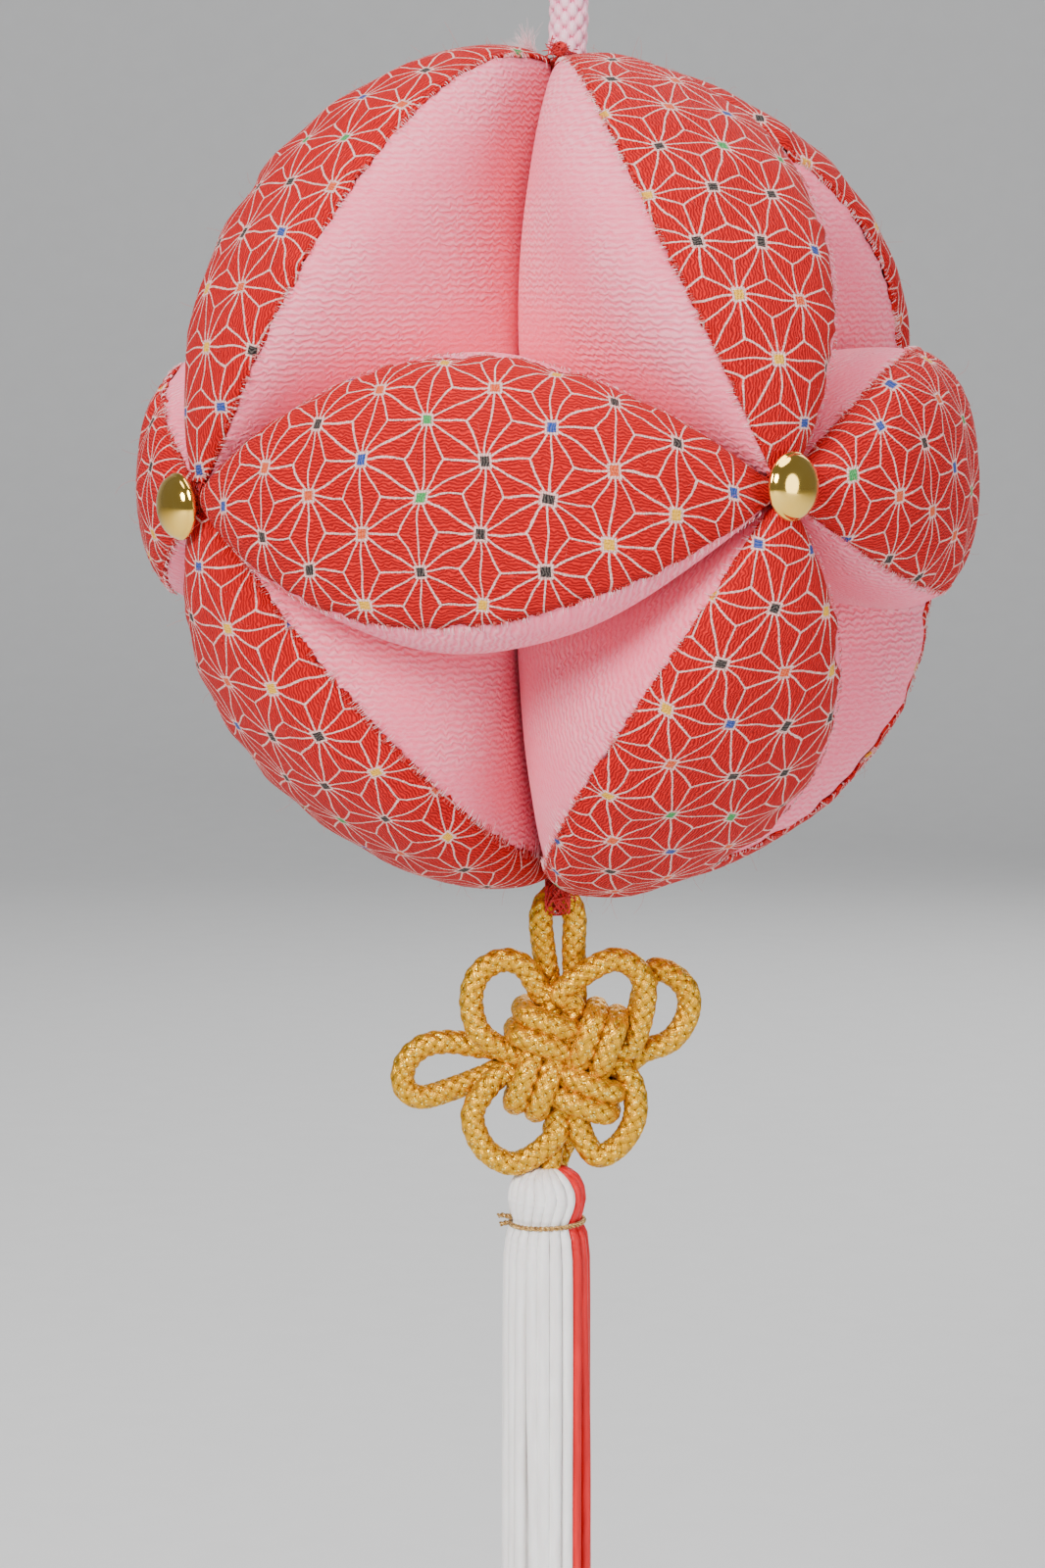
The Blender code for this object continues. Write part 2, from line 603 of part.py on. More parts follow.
def main():
    clear_scene()
    for name in wedge_list():
        add_wedge(name)
    for corner in RING:
        add_button(corner)
    for corner in CORNERS:
        add_lashing(corner)
    add_cord("hang_cord", smooth_route(hang_route(), 2), CORD_RADIUS, "pink_cord", 3)
    add_whipping()
    add_knot()
    foot_ring = Matrix.Translation((CORD_X, 0, BALL_CENTRE_Z + FOOT_THREAD_HEIGHT))
    add_thread_ring("thread_top", foot_ring, FOOT_THREAD_RADIUS)
    loop_ring = Matrix.Translation(knot_point(*LOOP_THREAD_CENTRE)) @ Matrix.Rotation(math.pi / 2, 4, "Y")
    add_thread_ring("thread_bottom", loop_ring, LOOP_THREAD_RADIUS)
    add_tassel_half("tassel_white", TASSEL_SPLIT - math.pi / 2, "white_strands")
    add_tassel_half("tassel_red", TASSEL_SPLIT + math.pi / 2, "red_strands")
    add_tassel_tie()


main()
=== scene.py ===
"""Finish for the hanging temari ball: stuffed crepe wedges, woven crown panels, buttons, cords and tassel.

Run as a script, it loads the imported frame, registers its operators and calls them in order. Sizes are
metres in the frame's own axes: the origin is the top of the hanging loop, +Z is up and -Y is the front.
"""

from collections import namedtuple
from math import acos, cos, pi, radians, sin, sqrt

import bpy
import numpy as np
from bpy.props import FloatProperty, FloatVectorProperty, IntProperty, PointerProperty
from mathutils import Matrix, Vector


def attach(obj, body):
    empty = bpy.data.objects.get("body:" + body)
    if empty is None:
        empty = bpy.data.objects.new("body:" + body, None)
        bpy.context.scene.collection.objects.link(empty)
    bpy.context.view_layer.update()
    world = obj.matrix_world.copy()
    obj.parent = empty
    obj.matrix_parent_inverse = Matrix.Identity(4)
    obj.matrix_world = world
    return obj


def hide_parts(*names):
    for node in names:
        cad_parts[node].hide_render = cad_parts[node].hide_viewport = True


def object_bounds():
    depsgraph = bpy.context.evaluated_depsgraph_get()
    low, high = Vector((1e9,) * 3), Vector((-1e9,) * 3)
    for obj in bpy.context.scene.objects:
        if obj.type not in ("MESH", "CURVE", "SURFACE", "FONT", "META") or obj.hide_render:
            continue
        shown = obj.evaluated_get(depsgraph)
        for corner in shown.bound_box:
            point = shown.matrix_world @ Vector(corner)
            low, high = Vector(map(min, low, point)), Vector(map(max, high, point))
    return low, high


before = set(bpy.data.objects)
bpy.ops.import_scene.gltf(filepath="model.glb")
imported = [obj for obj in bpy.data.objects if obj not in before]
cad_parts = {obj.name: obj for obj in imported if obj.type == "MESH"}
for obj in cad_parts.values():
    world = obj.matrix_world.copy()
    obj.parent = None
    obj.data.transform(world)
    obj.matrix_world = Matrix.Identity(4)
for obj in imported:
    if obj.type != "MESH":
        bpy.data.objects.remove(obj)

bl_info = {
    "name": "Temari Ball Finish",
    "version": (1, 0, 0),
    "blender": (4, 5, 0),
    "location": "View3D > Sidebar > Temari",
    "description": "Crepe wedges, hemp-leaf panels, buttons, cords, knot and tassel of a hanging temari ball",
    "category": "Add Mesh",
}

MM = 0.001
TURN = 2 * pi
CAD_LOW, CAD_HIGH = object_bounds()
CENTRE_Z = -0.117
CENTRE = np.array([0.0, 0.0, CENTRE_Z])

# The octahedron's corners: azimuth from the front towards the right, and elevation, in degrees
CORNERS = {
    "top": (0, 90),
    "bottom": (0, -90),
    "front_right": (31, 0),
    "back_right": (121, 1),
    "back_left": (-149, 0),
    "front_left": (-59.5, -2),
}
SIDE_CORNERS = ("front_right", "back_right", "back_left", "front_left")

# Wedges: radii as shares of the ball's radius, and each wedge's own unevenness, every value given at
# its first corner and at its second: the two seams' angles in its section (degrees), its width and
# height as shares of the standard wedge, and how far its crown leans as a share of the ball's radius
TIP_SHARE, INNER_SHARE, WIDTH_SHARE = 0.955, 0.12, 0.39
CROWN_SQUARENESS = 12
SIDE_FULLNESS = 0.2
TIP_DIP = 2.6
TIP_CUT = radians(2.2)
CREASE_SOFTNESS = 1.5 * MM
CREASE_GAP = 0.15 * MM
FIRST_SEAM, SECOND_SEAM, WIDTH, HEIGHT, LEAN = range(5)
WEDGE_FORM = {
    "front_left-front_right": ((-55, -33), (72, 76), (0.92, 0.93), (1.01, 1.01), (-0.02, -0.02)),
    "front_right-back_right": ((-50, -54), (68, 70), (0.84, 0.86), (0.99, 0.99), (-0.02, -0.02)),
    "back_right-back_left": ((-56, -50), (50, 54), (0.98, 0.98), (1.0, 1.01), (0.01, 0.0)),
    "back_left-front_left": ((-52, -50), (52, 56), (0.92, 0.86), (1.0, 1.0), (0.0, -0.02)),
    "top-front_right": ((-30, -40), (50, 50), (0.92, 0.92), (1.01, 1.01), (-0.03, -0.03)),
    "top-back_right": ((-62, -68), (50, 50), (0.92, 0.92), (0.99, 0.99), (0.0, 0.0)),
    "top-back_left": ((-50, -54), (56, 52), (0.96, 0.96), (1.01, 1.0), (0.0, 0.01)),
    "top-front_left": ((-54, -54), (38, 50), (0.9, 0.9), (1.05, 0.98), (0.0, 0.06)),
    "bottom-front_right": ((-50, -50), (62, 58), (0.94, 0.92), (1.03, 1.03), (0.02, 0.02)),
    "bottom-back_right": ((-54, -52), (50, 52), (1.0, 1.0), (1.05, 1.05), (0.0, 0.0)),
    "bottom-back_left": ((-50, -54), (56, 52), (0.98, 0.96), (1.02, 1.0), (0.0, 0.0)),
    "bottom-front_left": ((-72, -66), (52, 52), (0.98, 0.96), (1.02, 1.0), (-0.03, -0.03)),
}
# How each crown panel was cut from the patterned cloth: shift along and across (mm), turn (degrees)
CUT = {
    "front_left-front_right": (3, 5, 4),
    "front_right-back_right": (2, 6, -6),
    "back_right-back_left": (5, 1, -5),
    "back_left-front_left": (2, 4, 6),
    "top-front_right": (4, 1, 3),
    "top-back_right": (4, 3, -6),
    "top-back_left": (1, 5, 3),
    "top-front_left": (6, 2, -4),
    "bottom-front_right": (1, 7, 6),
    "bottom-back_right": (2, 2, 5),
    "bottom-back_left": (5, 4, -8),
    "bottom-front_left": (5, 3, 5),
}
# Turn of the crepe's ribs on each wedge, degrees
CREPE_TURN = {"bottom-front_right": 62, "front_left-front_right": 20, "back_left-front_left": 30}

# The cords' routes, in the frame's metres and, for the knot, millimetres from the knot's centre
KNOT_CENTRE = Vector((0.0012, 0, CENTRE_Z - 0.0919))
KNOT_TURN = radians(-20)
CORE_SPAN = 7.0
LAYER = 3.3
EARS = {
    "upper_left": [(-3.8, -1.5, 10.6), (-6.4, -1.7, 14.8), (-9.8, -1.7, 16.0), (-13.4, -1.7, 14.0),
                   (-14.8, -1.9, 9.8), (-13.4, -2.2, 4.6)],
    "upper_right": [(-1.2, -2.2, 10.2), (2.5, -2.4, 13.8), (7.6, -2.2, 16.2), (11.4, -1.8, 14.0),
                    (12.2, -1.8, 9.4)],
    "right": [(12.8, 2.2, 12.7), (15.8, 1.8, 13.6), (18.9, 1.5, 10.8), (19.0, 1.5, 6.7),
              (16.4, 1.5, 2.8), (12.0, 1.5, 1.0)],
    "lower_right": [(10.6, -1.7, -4.4), (10.7, -1.7, -9.2), (8.2, -1.7, -13.4), (4.6, -1.9, -14.8)],
    "lower_left": [(-1.6, -2.0, -11.6), (-5.0, -2.0, -14.9), (-8.8, -1.9, -16.2), (-12.7, -1.7, -13.9),
                   (-14.6, -1.6, -9.5), (-13.6, -1.6, -6.0)],
    "left": [(-13.7, 1.5, 1.8), (-18.2, 1.4, 2.5), (-22.4, 1.4, 1.8), (-25.2, 1.3, -1.0),
             (-25.4, 1.3, -4.6), (-22.7, 1.3, -6.3), (-17.4, 1.4, -4.8), (-13.2, 1.5, -3.2)],
    "top": [(-2.8, 1.3, 13.0), (-3.6, 0.8, 18.0), (-3.95, 0.3, 22.4), (-3.0, 0.2, 25.1),
            (-1.35, 0.2, 26.1), (0.35, 0.3, 25.1), (1.3, 0.4, 22.4), (1.2, 0.8, 18.0), (1.3, 1.3, 13.0)],
}

TASSEL_X = -1.75 * MM
TASSEL_TOP = 109.2 * MM
NECK_DROP = 8.3 * MM
TASSEL_SPLIT = 42

# Braids: strands of each hand, rise of one strand to the next, tilt of a pillow (degrees), relief
Braid = namedtuple("Braid", "strands pitch tilt depth")
PINK_BRAID = Braid(7, 2.65 * MM, 0, 0.62 * MM)
GOLD_BRAID = Braid(5, 2.0 * MM, 38, 0.46 * MM)
PILLOW_WIDTH, PILLOW_LENGTH, PILLOW_SINK = 0.40, 0.57, 0.75

# Colours of the stars' small squares: yellow, orange, blue, black, green
DOT_COLOURS = ((0.85, 0.42, 0.0), (0.74, 0.07, 0.0), (0.0, 0.045, 0.30), (0.006, 0.003, 0.004),
               (0.01, 0.30, 0.06))

# Camera: distance from the ball, heights and turns that put the ball where a viewer sees it
VIEW_DISTANCE = 0.70
VIEW_RISE = radians(3)
VIEW_PITCH = radians(6.94)
VIEW_YAW = radians(0.46)
LENS = 103.95


# ---------------------------------------------------------------- settings


def length_setting(name, description, default):
    return FloatProperty(name=name, description=description, default=default, unit="LENGTH")


def colour_setting(name, description, *default):
    return FloatVectorProperty(name=name, description=description, default=default, subtype="COLOR")


class TemariSizes(bpy.types.PropertyGroup):
    ball_radius: length_setting("Ball radius", "From the ball's centre to a crown", 0.065)
    cord_radius: length_setting("Hanging cord radius", "Radius of the pink braid", 0.0029)
    knot_radius: length_setting("Knot cord radius", "Radius of the gold braid", 0.00185)
    leaf_spacing: FloatProperty(
        name="Leaf spacing", description="Between the stars of the weave, in millimetres", default=10.5)
    tassel_length: length_setting("Tassel length", "From the tassel's top to its cut ends", 0.110)
    tassel_strands: IntProperty(
        name="Tassel strands", description="Strands in the tassel's outer ring", default=20)


class TemariColours(bpy.types.PropertyGroup):
    crepe: colour_setting("Crepe", "Pink crepe of the sides", 0.96, 0.13, 0.24)
    weave: colour_setting("Weave", "Red ground of the crown panels", 0.52, 0.0, 0.002)
    leaf: colour_setting("Leaf lines", "Pale lines of the weave", 0.95, 0.44, 0.40)
    braid: colour_setting("Braid", "Pink of the hanging cord", 0.98, 0.42, 0.56)
    gold: colour_setting("Gold cord", "Yarn of the knot", 0.64, 0.32, 0.004)
    button: colour_setting("Button", "Polished gold", 0.98, 0.56, 0.06)
    thread: colour_setting("Thread", "Red sewing thread", 0.60, 0.002, 0.006)


# ---------------------------------------------------------------- surfaces


def waves(points, length, seed, count=10):
    """Smooth uneven value, about -1 to 1: a mean of sine waves of that length in random directions."""
    random = np.random.default_rng(seed)
    turn = random.normal(size=(count, 3))
    turn *= TURN / length / np.linalg.norm(turn, axis=1, keepdims=True)
    phase = random.uniform(0, TURN, count)
    return np.sin(points @ turn.T + phase).sum(-1) / sqrt(count) * 0.8


def grid_faces(rows, columns, round_it=True):
    """Quads of a grid of rows x columns, whose last column joins the first when it goes round."""
    spans = columns if round_it else columns - 1
    row, column = np.meshgrid(np.arange(rows - 1) * columns, np.arange(spans), indexing="ij")
    after = (column + 1) % columns
    below = row + columns
    return np.stack([row + column, row + after, below + after, below + column], -1).reshape(-1, 4)


def make_piece(name, points, quads, material, ends=(), corners=None):
    """A smooth mesh piece. ends are rings closed by one polygon each, corners the pattern map's values."""
    mesh = bpy.data.meshes.new(name)
    faces = [tuple(q) for q in quads.tolist()] + [tuple(ring) for ring in ends]
    mesh.from_pydata(points.reshape(-1, 3).astype(float).tolist(), [], faces)
    if corners is not None:
        index = np.empty(len(mesh.loops), np.int32)
        mesh.loops.foreach_get("vertex_index", index)
        layer = mesh.uv_layers.new(name="pattern")
        layer.uv.foreach_set("vector", corners.reshape(-1, 2)[index].astype(np.float32).ravel())
    mesh.shade_smooth()
    mesh.materials.append(material)
    mesh.validate()
    piece = bpy.data.objects.new(name, mesh)
    bpy.context.scene.collection.objects.link(piece)
    return piece


def closed_piece(name, points, material, corners=None):
    """A piece from a grid of points that goes round, with a polygon over its first and last rows."""
    rows, around = points.shape[:2]
    ends = [range(around - 1, -1, -1), range((rows - 1) * around, rows * around)]
    return make_piece(name, points, grid_faces(rows, around), material, ends, corners)


def lengths_along(route):
    """Length of the route up to each of its points."""
    return np.concatenate([[0], np.cumsum(np.linalg.norm(np.diff(route, axis=0), axis=1))])


def carried(points, place):
    """The points of a frame's own space, in the ball's."""
    frame_of = np.array(place)
    return points @ frame_of[:3, :3].T + frame_of[:3, 3]


def settle(piece, slot, *nodes):
    """Rides the piece on the ball and hides the solids that it stands for. Its finish's name, the slot, is
    not used.
    """
    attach(piece, "root")
    if nodes:
        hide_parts(*nodes)
    return piece


def tube_frames(route):
    """Two unit vectors across the route at each of its points, carried along without twist."""
    ahead = np.gradient(route, axis=0)
    ahead /= np.linalg.norm(ahead, axis=1, keepdims=True)
    first = np.cross(ahead[0], (0.0, 1.0, 0.0) if abs(ahead[0][1]) < 0.9 else (1.0, 0.0, 0.0))
    side = [first / np.linalg.norm(first)]
    for direction in ahead[1:]:
        turned = side[-1] - direction * (direction @ side[-1])
        side.append(turned / np.linalg.norm(turned))
    side = np.array(side)
    return side, np.cross(ahead, side)


def tube(route, radius, around, relief=None):
    """Grid of a tube: at each route point a ring of that radius plus the relief at (angle, length)."""
    side, up = tube_frames(route)
    turn = np.linspace(0, TURN, around, endpoint=False)[None, :]
    along = lengths_along(route)[:, None]
    reach = np.broadcast_to(np.reshape(radius, (-1, 1)), (len(route), around)).copy()
    if relief is not None:
        reach += relief(turn, along)
    points = route[:, None] + reach[..., None] * (
        np.cos(turn)[..., None] * side[:, None] + np.sin(turn)[..., None] * up[:, None])
    corners = np.stack(np.broadcast_arrays(turn / (TURN), along / MM), -1)
    return points, corners


def tube_piece(name, route, radius, around, material, relief=None):
    """A tube along the route as one piece, its two ends closed."""
    points, corners = tube(route, radius, around, relief)
    return closed_piece(name, points, material, corners)


def many_tubes(name, routes, radius, around, material):
    """Many like thin tubes as one piece: routes is an array of tubes x points x 3."""
    ahead = np.gradient(routes, axis=1)
    ahead /= np.maximum(np.linalg.norm(ahead, axis=2, keepdims=True), 1e-9)
    across = np.cross(ahead, np.array([0.31, 0.52, 0.79]))
    across /= np.maximum(np.linalg.norm(across, axis=2, keepdims=True), 1e-9)
    up = np.cross(ahead, across)
    turn = np.linspace(0, TURN, around, endpoint=False)
    ring = np.cos(turn)[:, None] * across[:, :, None] + np.sin(turn)[:, None] * up[:, :, None]
    reach = np.broadcast_to(radius, routes.shape[:2])[:, :, None, None]
    points = routes[:, :, None] + reach * ring
    count, rows = routes.shape[:2]
    first = (np.arange(count) * rows * around)[:, None]
    quads = grid_faces(rows, around)[None] + first[..., None]
    ring_order = np.arange(around)
    ends = np.concatenate([first + ring_order[::-1], first + (rows - 1) * around + ring_order])
    length = np.broadcast_to(np.linspace(0, 1, rows)[:, None], (count, rows, around))
    corners = np.stack([np.broadcast_to(turn / (TURN), length.shape), length * 10], -1)
    return make_piece(name, points, quads.reshape(-1, 4), material, ends.tolist(), corners)


def smooth_route(points, spacing):
    """Catmull-Rom curve through the points, then resampled at an even spacing."""
    points = np.array(points, dtype=float)
    padded = np.vstack([2 * points[0] - points[1], points, 2 * points[-1] - points[-2]])
    steps = np.linspace(0, 1, 16, endpoint=False)[:, None]
    curve = []
    for p0, p1, p2, p3 in zip(padded, padded[1:], padded[2:], padded[3:]):
        linear, square = p2 - p0, 2 * p0 - 5 * p1 + 4 * p2 - p3
        cube = 3 * p1 - p0 - 3 * p2 + p3
        curve.append(p1 + 0.5 * (linear * steps + square * steps**2 + cube * steps**3))
    curve = np.vstack(curve + [points[-1:]])
    length = lengths_along(curve)
    even = np.linspace(0, length[-1], max(int(length[-1] / spacing), 4))
    return np.stack([np.interp(even, length, curve[:, axis]) for axis in range(3)], -1)


def braid_relief(braid):
    """Relief of a round braid: an oval pillow on every diamond where strands of both hands cross.

    a and b count the strands of each hand at an angle and length. In a diamond, across and along
    are their offsets' half sum and half difference. Each pillow tilts one way or the other by turns.
    """
    def relief(turn, along):
        a = braid.strands * turn / TURN + along / braid.pitch
        b = braid.strands * turn / TURN - along / braid.pitch
        lean = radians(braid.tilt) * (1 - 2 * ((np.floor(a) + np.floor(b)) % 2))
        across, length = (a % 1 + b % 1 - 1) / 2, (a % 1 - b % 1) / 2
        wide = (across * np.cos(lean) + length * np.sin(lean)) / PILLOW_WIDTH
        tall = (length * np.cos(lean) - across * np.sin(lean)) / PILLOW_LENGTH
        return braid.depth * (np.sqrt(np.clip(1 - wide**2 - tall**2, 0, 1)) - PILLOW_SINK)

    return relief


# ---------------------------------------------------------------- node trees


class Flow:
    """A node's output that arithmetic carries on: each sign adds one Math node to its tree."""

    def __init__(self, tree, socket):
        self.tree, self.socket = tree, socket

    def __add__(self, other):
        return self.tree.math("ADD", self, other)

    def __sub__(self, other):
        return self.tree.math("SUBTRACT", self, other)

    def __rsub__(self, other):
        return self.tree.math("SUBTRACT", other, self)

    def __mul__(self, other):
        return self.tree.math("MULTIPLY", self, other)

    def __truediv__(self, other):
        return self.tree.math("DIVIDE", self, other)


class Tree:
    """Short calls for making a node tree, where a value may be a number or a Flow."""

    def __init__(self, tree):
        self.tree = tree

    def node(self, kind, inputs=(), **settings):
        made = self.tree.nodes.new(kind)
        for key, value in settings.items():
            setattr(made, key, value)
        for key, value in dict(inputs).items():
            self.feed(made.inputs[key], value)
        return made

    def feed(self, socket, value):
        if isinstance(value, Flow):
            self.tree.links.new(value.socket, socket)
        else:
            socket.default_value = value

    def flow(self, kind, output=0, inputs=(), **settings):
        return Flow(self, self.node(kind, inputs, **settings).outputs[output])

    def math(self, operation, *values):
        return self.flow("ShaderNodeMath", 0, enumerate(values), operation=operation)

    def vector(self, operation, *values):
        output = "Value" if operation == "DOT_PRODUCT" else "Vector"
        return self.flow("ShaderNodeVectorMath", output, enumerate(values), operation=operation)

    def wave(self, turns):
        """The sine of a number of whole turns."""
        return self.math("SINE", turns * TURN)

    def band(self, value, low, high, start=0.0, end=1.0):
        """The value's smooth rise from start to end between low and high."""
        ends = {"Value": value, "From Min": low, "From Max": high, "To Min": start, "To Max": end}
        return self.flow("ShaderNodeMapRange", "Result", ends, interpolation_type="SMOOTHSTEP")

    def mix(self, share, first, second):
        return self.flow("ShaderNodeMix", 2, {0: share, 6: first, 7: second}, data_type="RGBA")

    def noise(self, place, scale, detail=2.0, rough=0.5, output="Fac"):
        values = {"Vector": place, "Scale": scale, "Detail": detail, "Roughness": rough}
        return self.flow("ShaderNodeTexNoise", output, values)

    def shake(self, place, scale, detail, reach):
        """A wandering shift in X and Y of up to half the reach either way."""
        wander = self.noise(place, scale, detail, output="Color")
        return self.vector("MULTIPLY", self.vector("SUBTRACT", wander, (0.5, 0.5, 0.5)), (reach, reach, 0.0))

    def parts(self, vector):
        """The vector's X and Y."""
        return [Flow(self, socket) for socket in self.node("ShaderNodeSeparateXYZ", {0: vector}).outputs[:2]]

    def pattern(self):
        """The piece's own pattern map, in millimetres."""
        return self.flow("ShaderNodeUVMap", uv_map="pattern")

    def sideways(self, place, scale=(1.0, 1.0, 1.0)):
        """The map scaled, then turned by a quarter."""
        values = {"Vector": place, "Rotation": (0.0, 0.0, pi / 2), "Scale": scale}
        return self.flow("ShaderNodeMapping", 0, values)

    def place(self, *scale):
        """The piece's Object coordinates, times a scale along each axis."""
        return self.vector("MULTIPLY", self.flow("ShaderNodeTexCoord", "Object"), scale)

    def group(self, name, *values):
        """The outputs of a shared effect."""
        made = self.node("ShaderNodeGroup", enumerate(values), node_tree=bpy.data.node_groups[name])
        return [Flow(self, socket) for socket in made.outputs]


class Finish(Tree):
    """A material's node tree, with its Principled shader's uniform values set."""

    def __init__(self, name, roughness, metallic=0.0, sheen=0.0, subsurface=0.0, specular=0.5):
        self.material = bpy.data.materials.new(name)
        self.material.use_nodes = True
        super().__init__(self.material.node_tree)
        self.shader = self.tree.nodes["Principled BSDF"].inputs
        values = {"Roughness": roughness, "Metallic": metallic, "Sheen Weight": sheen, "Sheen Roughness": 0.4,
                  "Specular IOR Level": specular, "Subsurface Weight": subsurface, "Subsurface Scale": 0.0012}
        for key, value in values.items():
            self.shader[key].default_value = value

    def done(self, shade, height, distance, strength):
        """Feeds the shader its colour and its relief. Returns the material."""
        relief = {"Height": height, "Distance": distance, "Strength": strength}
        self.feed(self.shader["Base Color"], shade)
        self.feed(self.shader["Normal"], self.flow("ShaderNodeBump", 0, relief))
        return self.material


def new_group(name, inputs, outputs=("Height",), vectors=()):
    """An empty node group. Each input has a number as its default, or None for a vector."""
    group = bpy.data.node_groups.new(name, "ShaderNodeTree")
    for label, default in inputs.items():
        kind = "Vector" if default is None else "Float"
        socket = group.interface.new_socket(label, in_out="INPUT", socket_type=f"NodeSocket{kind}")
        if default is not None:
            socket.default_value = default
    for label in outputs:
        kind = "Vector" if label in vectors else "Float"
        group.interface.new_socket(label, in_out="OUTPUT", socket_type=f"NodeSocket{kind}")
    tree = Tree(group)
    given = tree.node("NodeGroupInput").outputs
    return tree, [Flow(tree, given[label]) for label in inputs], tree.node("NodeGroupOutput").inputs


def colour(value, strength=1.0):
    return (*(min(channel * strength, 1.0) for channel in value), 1.0)


def build_wavy_ribs():
    """Wavy parallel ridges, one each spacing along the vector's X, swaying along its Y."""
    tree, (vector, spacing, sway, sway_length), result = new_group(
        "wavy_ribs", {"Vector": None, "Spacing": 1.0, "Sway": 0.2, "Sway Length": 2.5})
    x, y = tree.parts(vector)
    phase = y / sway_length + tree.noise(vector, 0.35) * 2.5
    turns = (x + tree.wave(phase) * sway + tree.noise(vector, 0.9, 1.0) * 0.9) / spacing
    tree.feed(result["Height"], tree.wave(turns) * 0.5 + 0.5)


def build_yarn_grain():
    """Fine yarn grain, in streaks along the vector's Y."""
    tree, (vector, fineness), result = new_group("yarn_grain", {"Vector": None, "Fineness": 4.0})
    streak = tree.noise(tree.vector("MULTIPLY", vector, (1.0, 0.3, 1.0)), fineness, 3.0, 0.6)
    speck = tree.noise(vector, fineness * 2.2, 2.0, 0.6)
    tree.feed(result["Height"], streak * 0.6 + speck * 0.4)


def build_braid_cells():
    """The pillows of braid_relief, on the map's X round the cord and its Y along it."""
    tree, (vector, strands, pitch, tilt), result = new_group(
        "braid_cells", {"Vector": None, "Strands": 6.0, "Pitch": 1.75, "Tilt": 0.6}, ("Height", "Ply"))
    x, y = tree.parts(vector)
    round_it, along = x * strands, y / pitch
    hands = (round_it + along, round_it - along)
    whole = tree.math("FLOOR", hands[0]) + tree.math("FLOOR", hands[1])
    turn = (tree.math("FLOORED_MODULO", whole, 2.0) * -2.0 + 1.0) * tilt
    first, second = (tree.math("FRACT", hand) for hand in hands)
    across, length = (first + second) * 0.5 - 0.5, (first - second) * 0.5
    cosine, sine = tree.math("COSINE", turn), tree.math("SINE", turn)
    ply = across * cosine + length * sine
    wide, tall = ply / PILLOW_WIDTH, (length * cosine - across * sine) / PILLOW_LENGTH
    tree.feed(result["Height"], tree.math("SQRT", tree.math("MAXIMUM", 1.0 - wide * wide - tall * tall, 0.0)))
    tree.feed(result["Ply"], ply)


def build_hemp_leaf():
    """The hemp-leaf lattice: equal triangles of that side, each with three spokes to its middle.

    A point's distances to the three sides of its triangle, as shares of the triangle's height, come
    from the fractions of its steps in three directions. Line is the distance to the nearest side or
    spoke, Star X and Star Y the offset from the nearest corner, and Key that corner's own number.
    """
    tree, (vector, spacing), result = new_group(
        "hemp_leaf", {"Vector": None, "Spacing": 10.5}, ("Line", "Star X", "Star Y", "Key"), ("Key",))
    height = spacing * sqrt(0.75)
    turns = [tree.vector("DOT_PRODUCT", vector, (cos(angle), sin(angle), 0.0)) / height
             for angle in (0, TURN / 3, TURN * 2 / 3)]
    shares = [tree.math("FRACT", turn) for turn in turns]
    flipped = tree.math("GREATER_THAN", shares[0] + shares[1] + shares[2], 1.5)
    shares = [tree.math("ABSOLUTE", flipped - share) for share in shares]
    low, high = (tree.math(pick, tree.math(pick, shares[0], shares[1]), shares[2])
                 for pick in ("MINIMUM", "MAXIMUM"))
    spoke = (1.0 - low - high - low) * (height / sqrt(3))
    tree.feed(result["Line"], tree.math("MINIMUM", low * height, spoke))
    corner = []
    for turn, share in zip(turns[:2], shares):
        nearest = tree.math("GREATER_THAN", share, high - 1e-4)
        corner.append(tree.math("FLOOR", turn) + tree.math("ABSOLUTE", flipped - nearest))
    first, second = turns[0] - corner[0], turns[1] - corner[1]
    tree.feed(result["Star X"], first * height)
    tree.feed(result["Star Y"], (first * 0.5 + second) * (height * (2 / sqrt(3))))
    key = {axis: tree.math("ROUND", number) for axis, number in enumerate(corner)}
    tree.feed(result["Key"], tree.flow("ShaderNodeCombineXYZ", 0, key))


def crepe_finish(colours):
    """Silk crepe: wavy crinkle across the panel, a fine yarn grain, painted shade of deeper pink in its
    hollows, lighter on its ridges.
    """
    tree = Finish("pink_crepe", 0.80, sheen=0.06, subsurface=0.15, specular=0.2)
    place = tree.pattern()
    ribs = tree.group("wavy_ribs", place, 0.98, 0.17, 2.1)[0]
    grain = tree.group("yarn_grain", place, 3.2)[0]
    crinkle = ribs * tree.band(tree.noise(place, 0.06, 1.0), 0.38, 0.62, 0.35, 1.0)
    # Painted shade and light: the crepe colour in the crinkle's hollows, a lighter pink on its ridges
    painted_crinkle_shade = tree.mix(crinkle, colour(colours.crepe), colour((1.0, 0.33, 0.42)))
    mottled = tree.mix(tree.band(grain, 0.35, 0.65, 0.0, 0.4), painted_crinkle_shade, colour((1.0, 0.42, 0.49)))
    return tree.done(mottled, crinkle * 0.75 + grain * 0.55, 0.00030, 0.85)


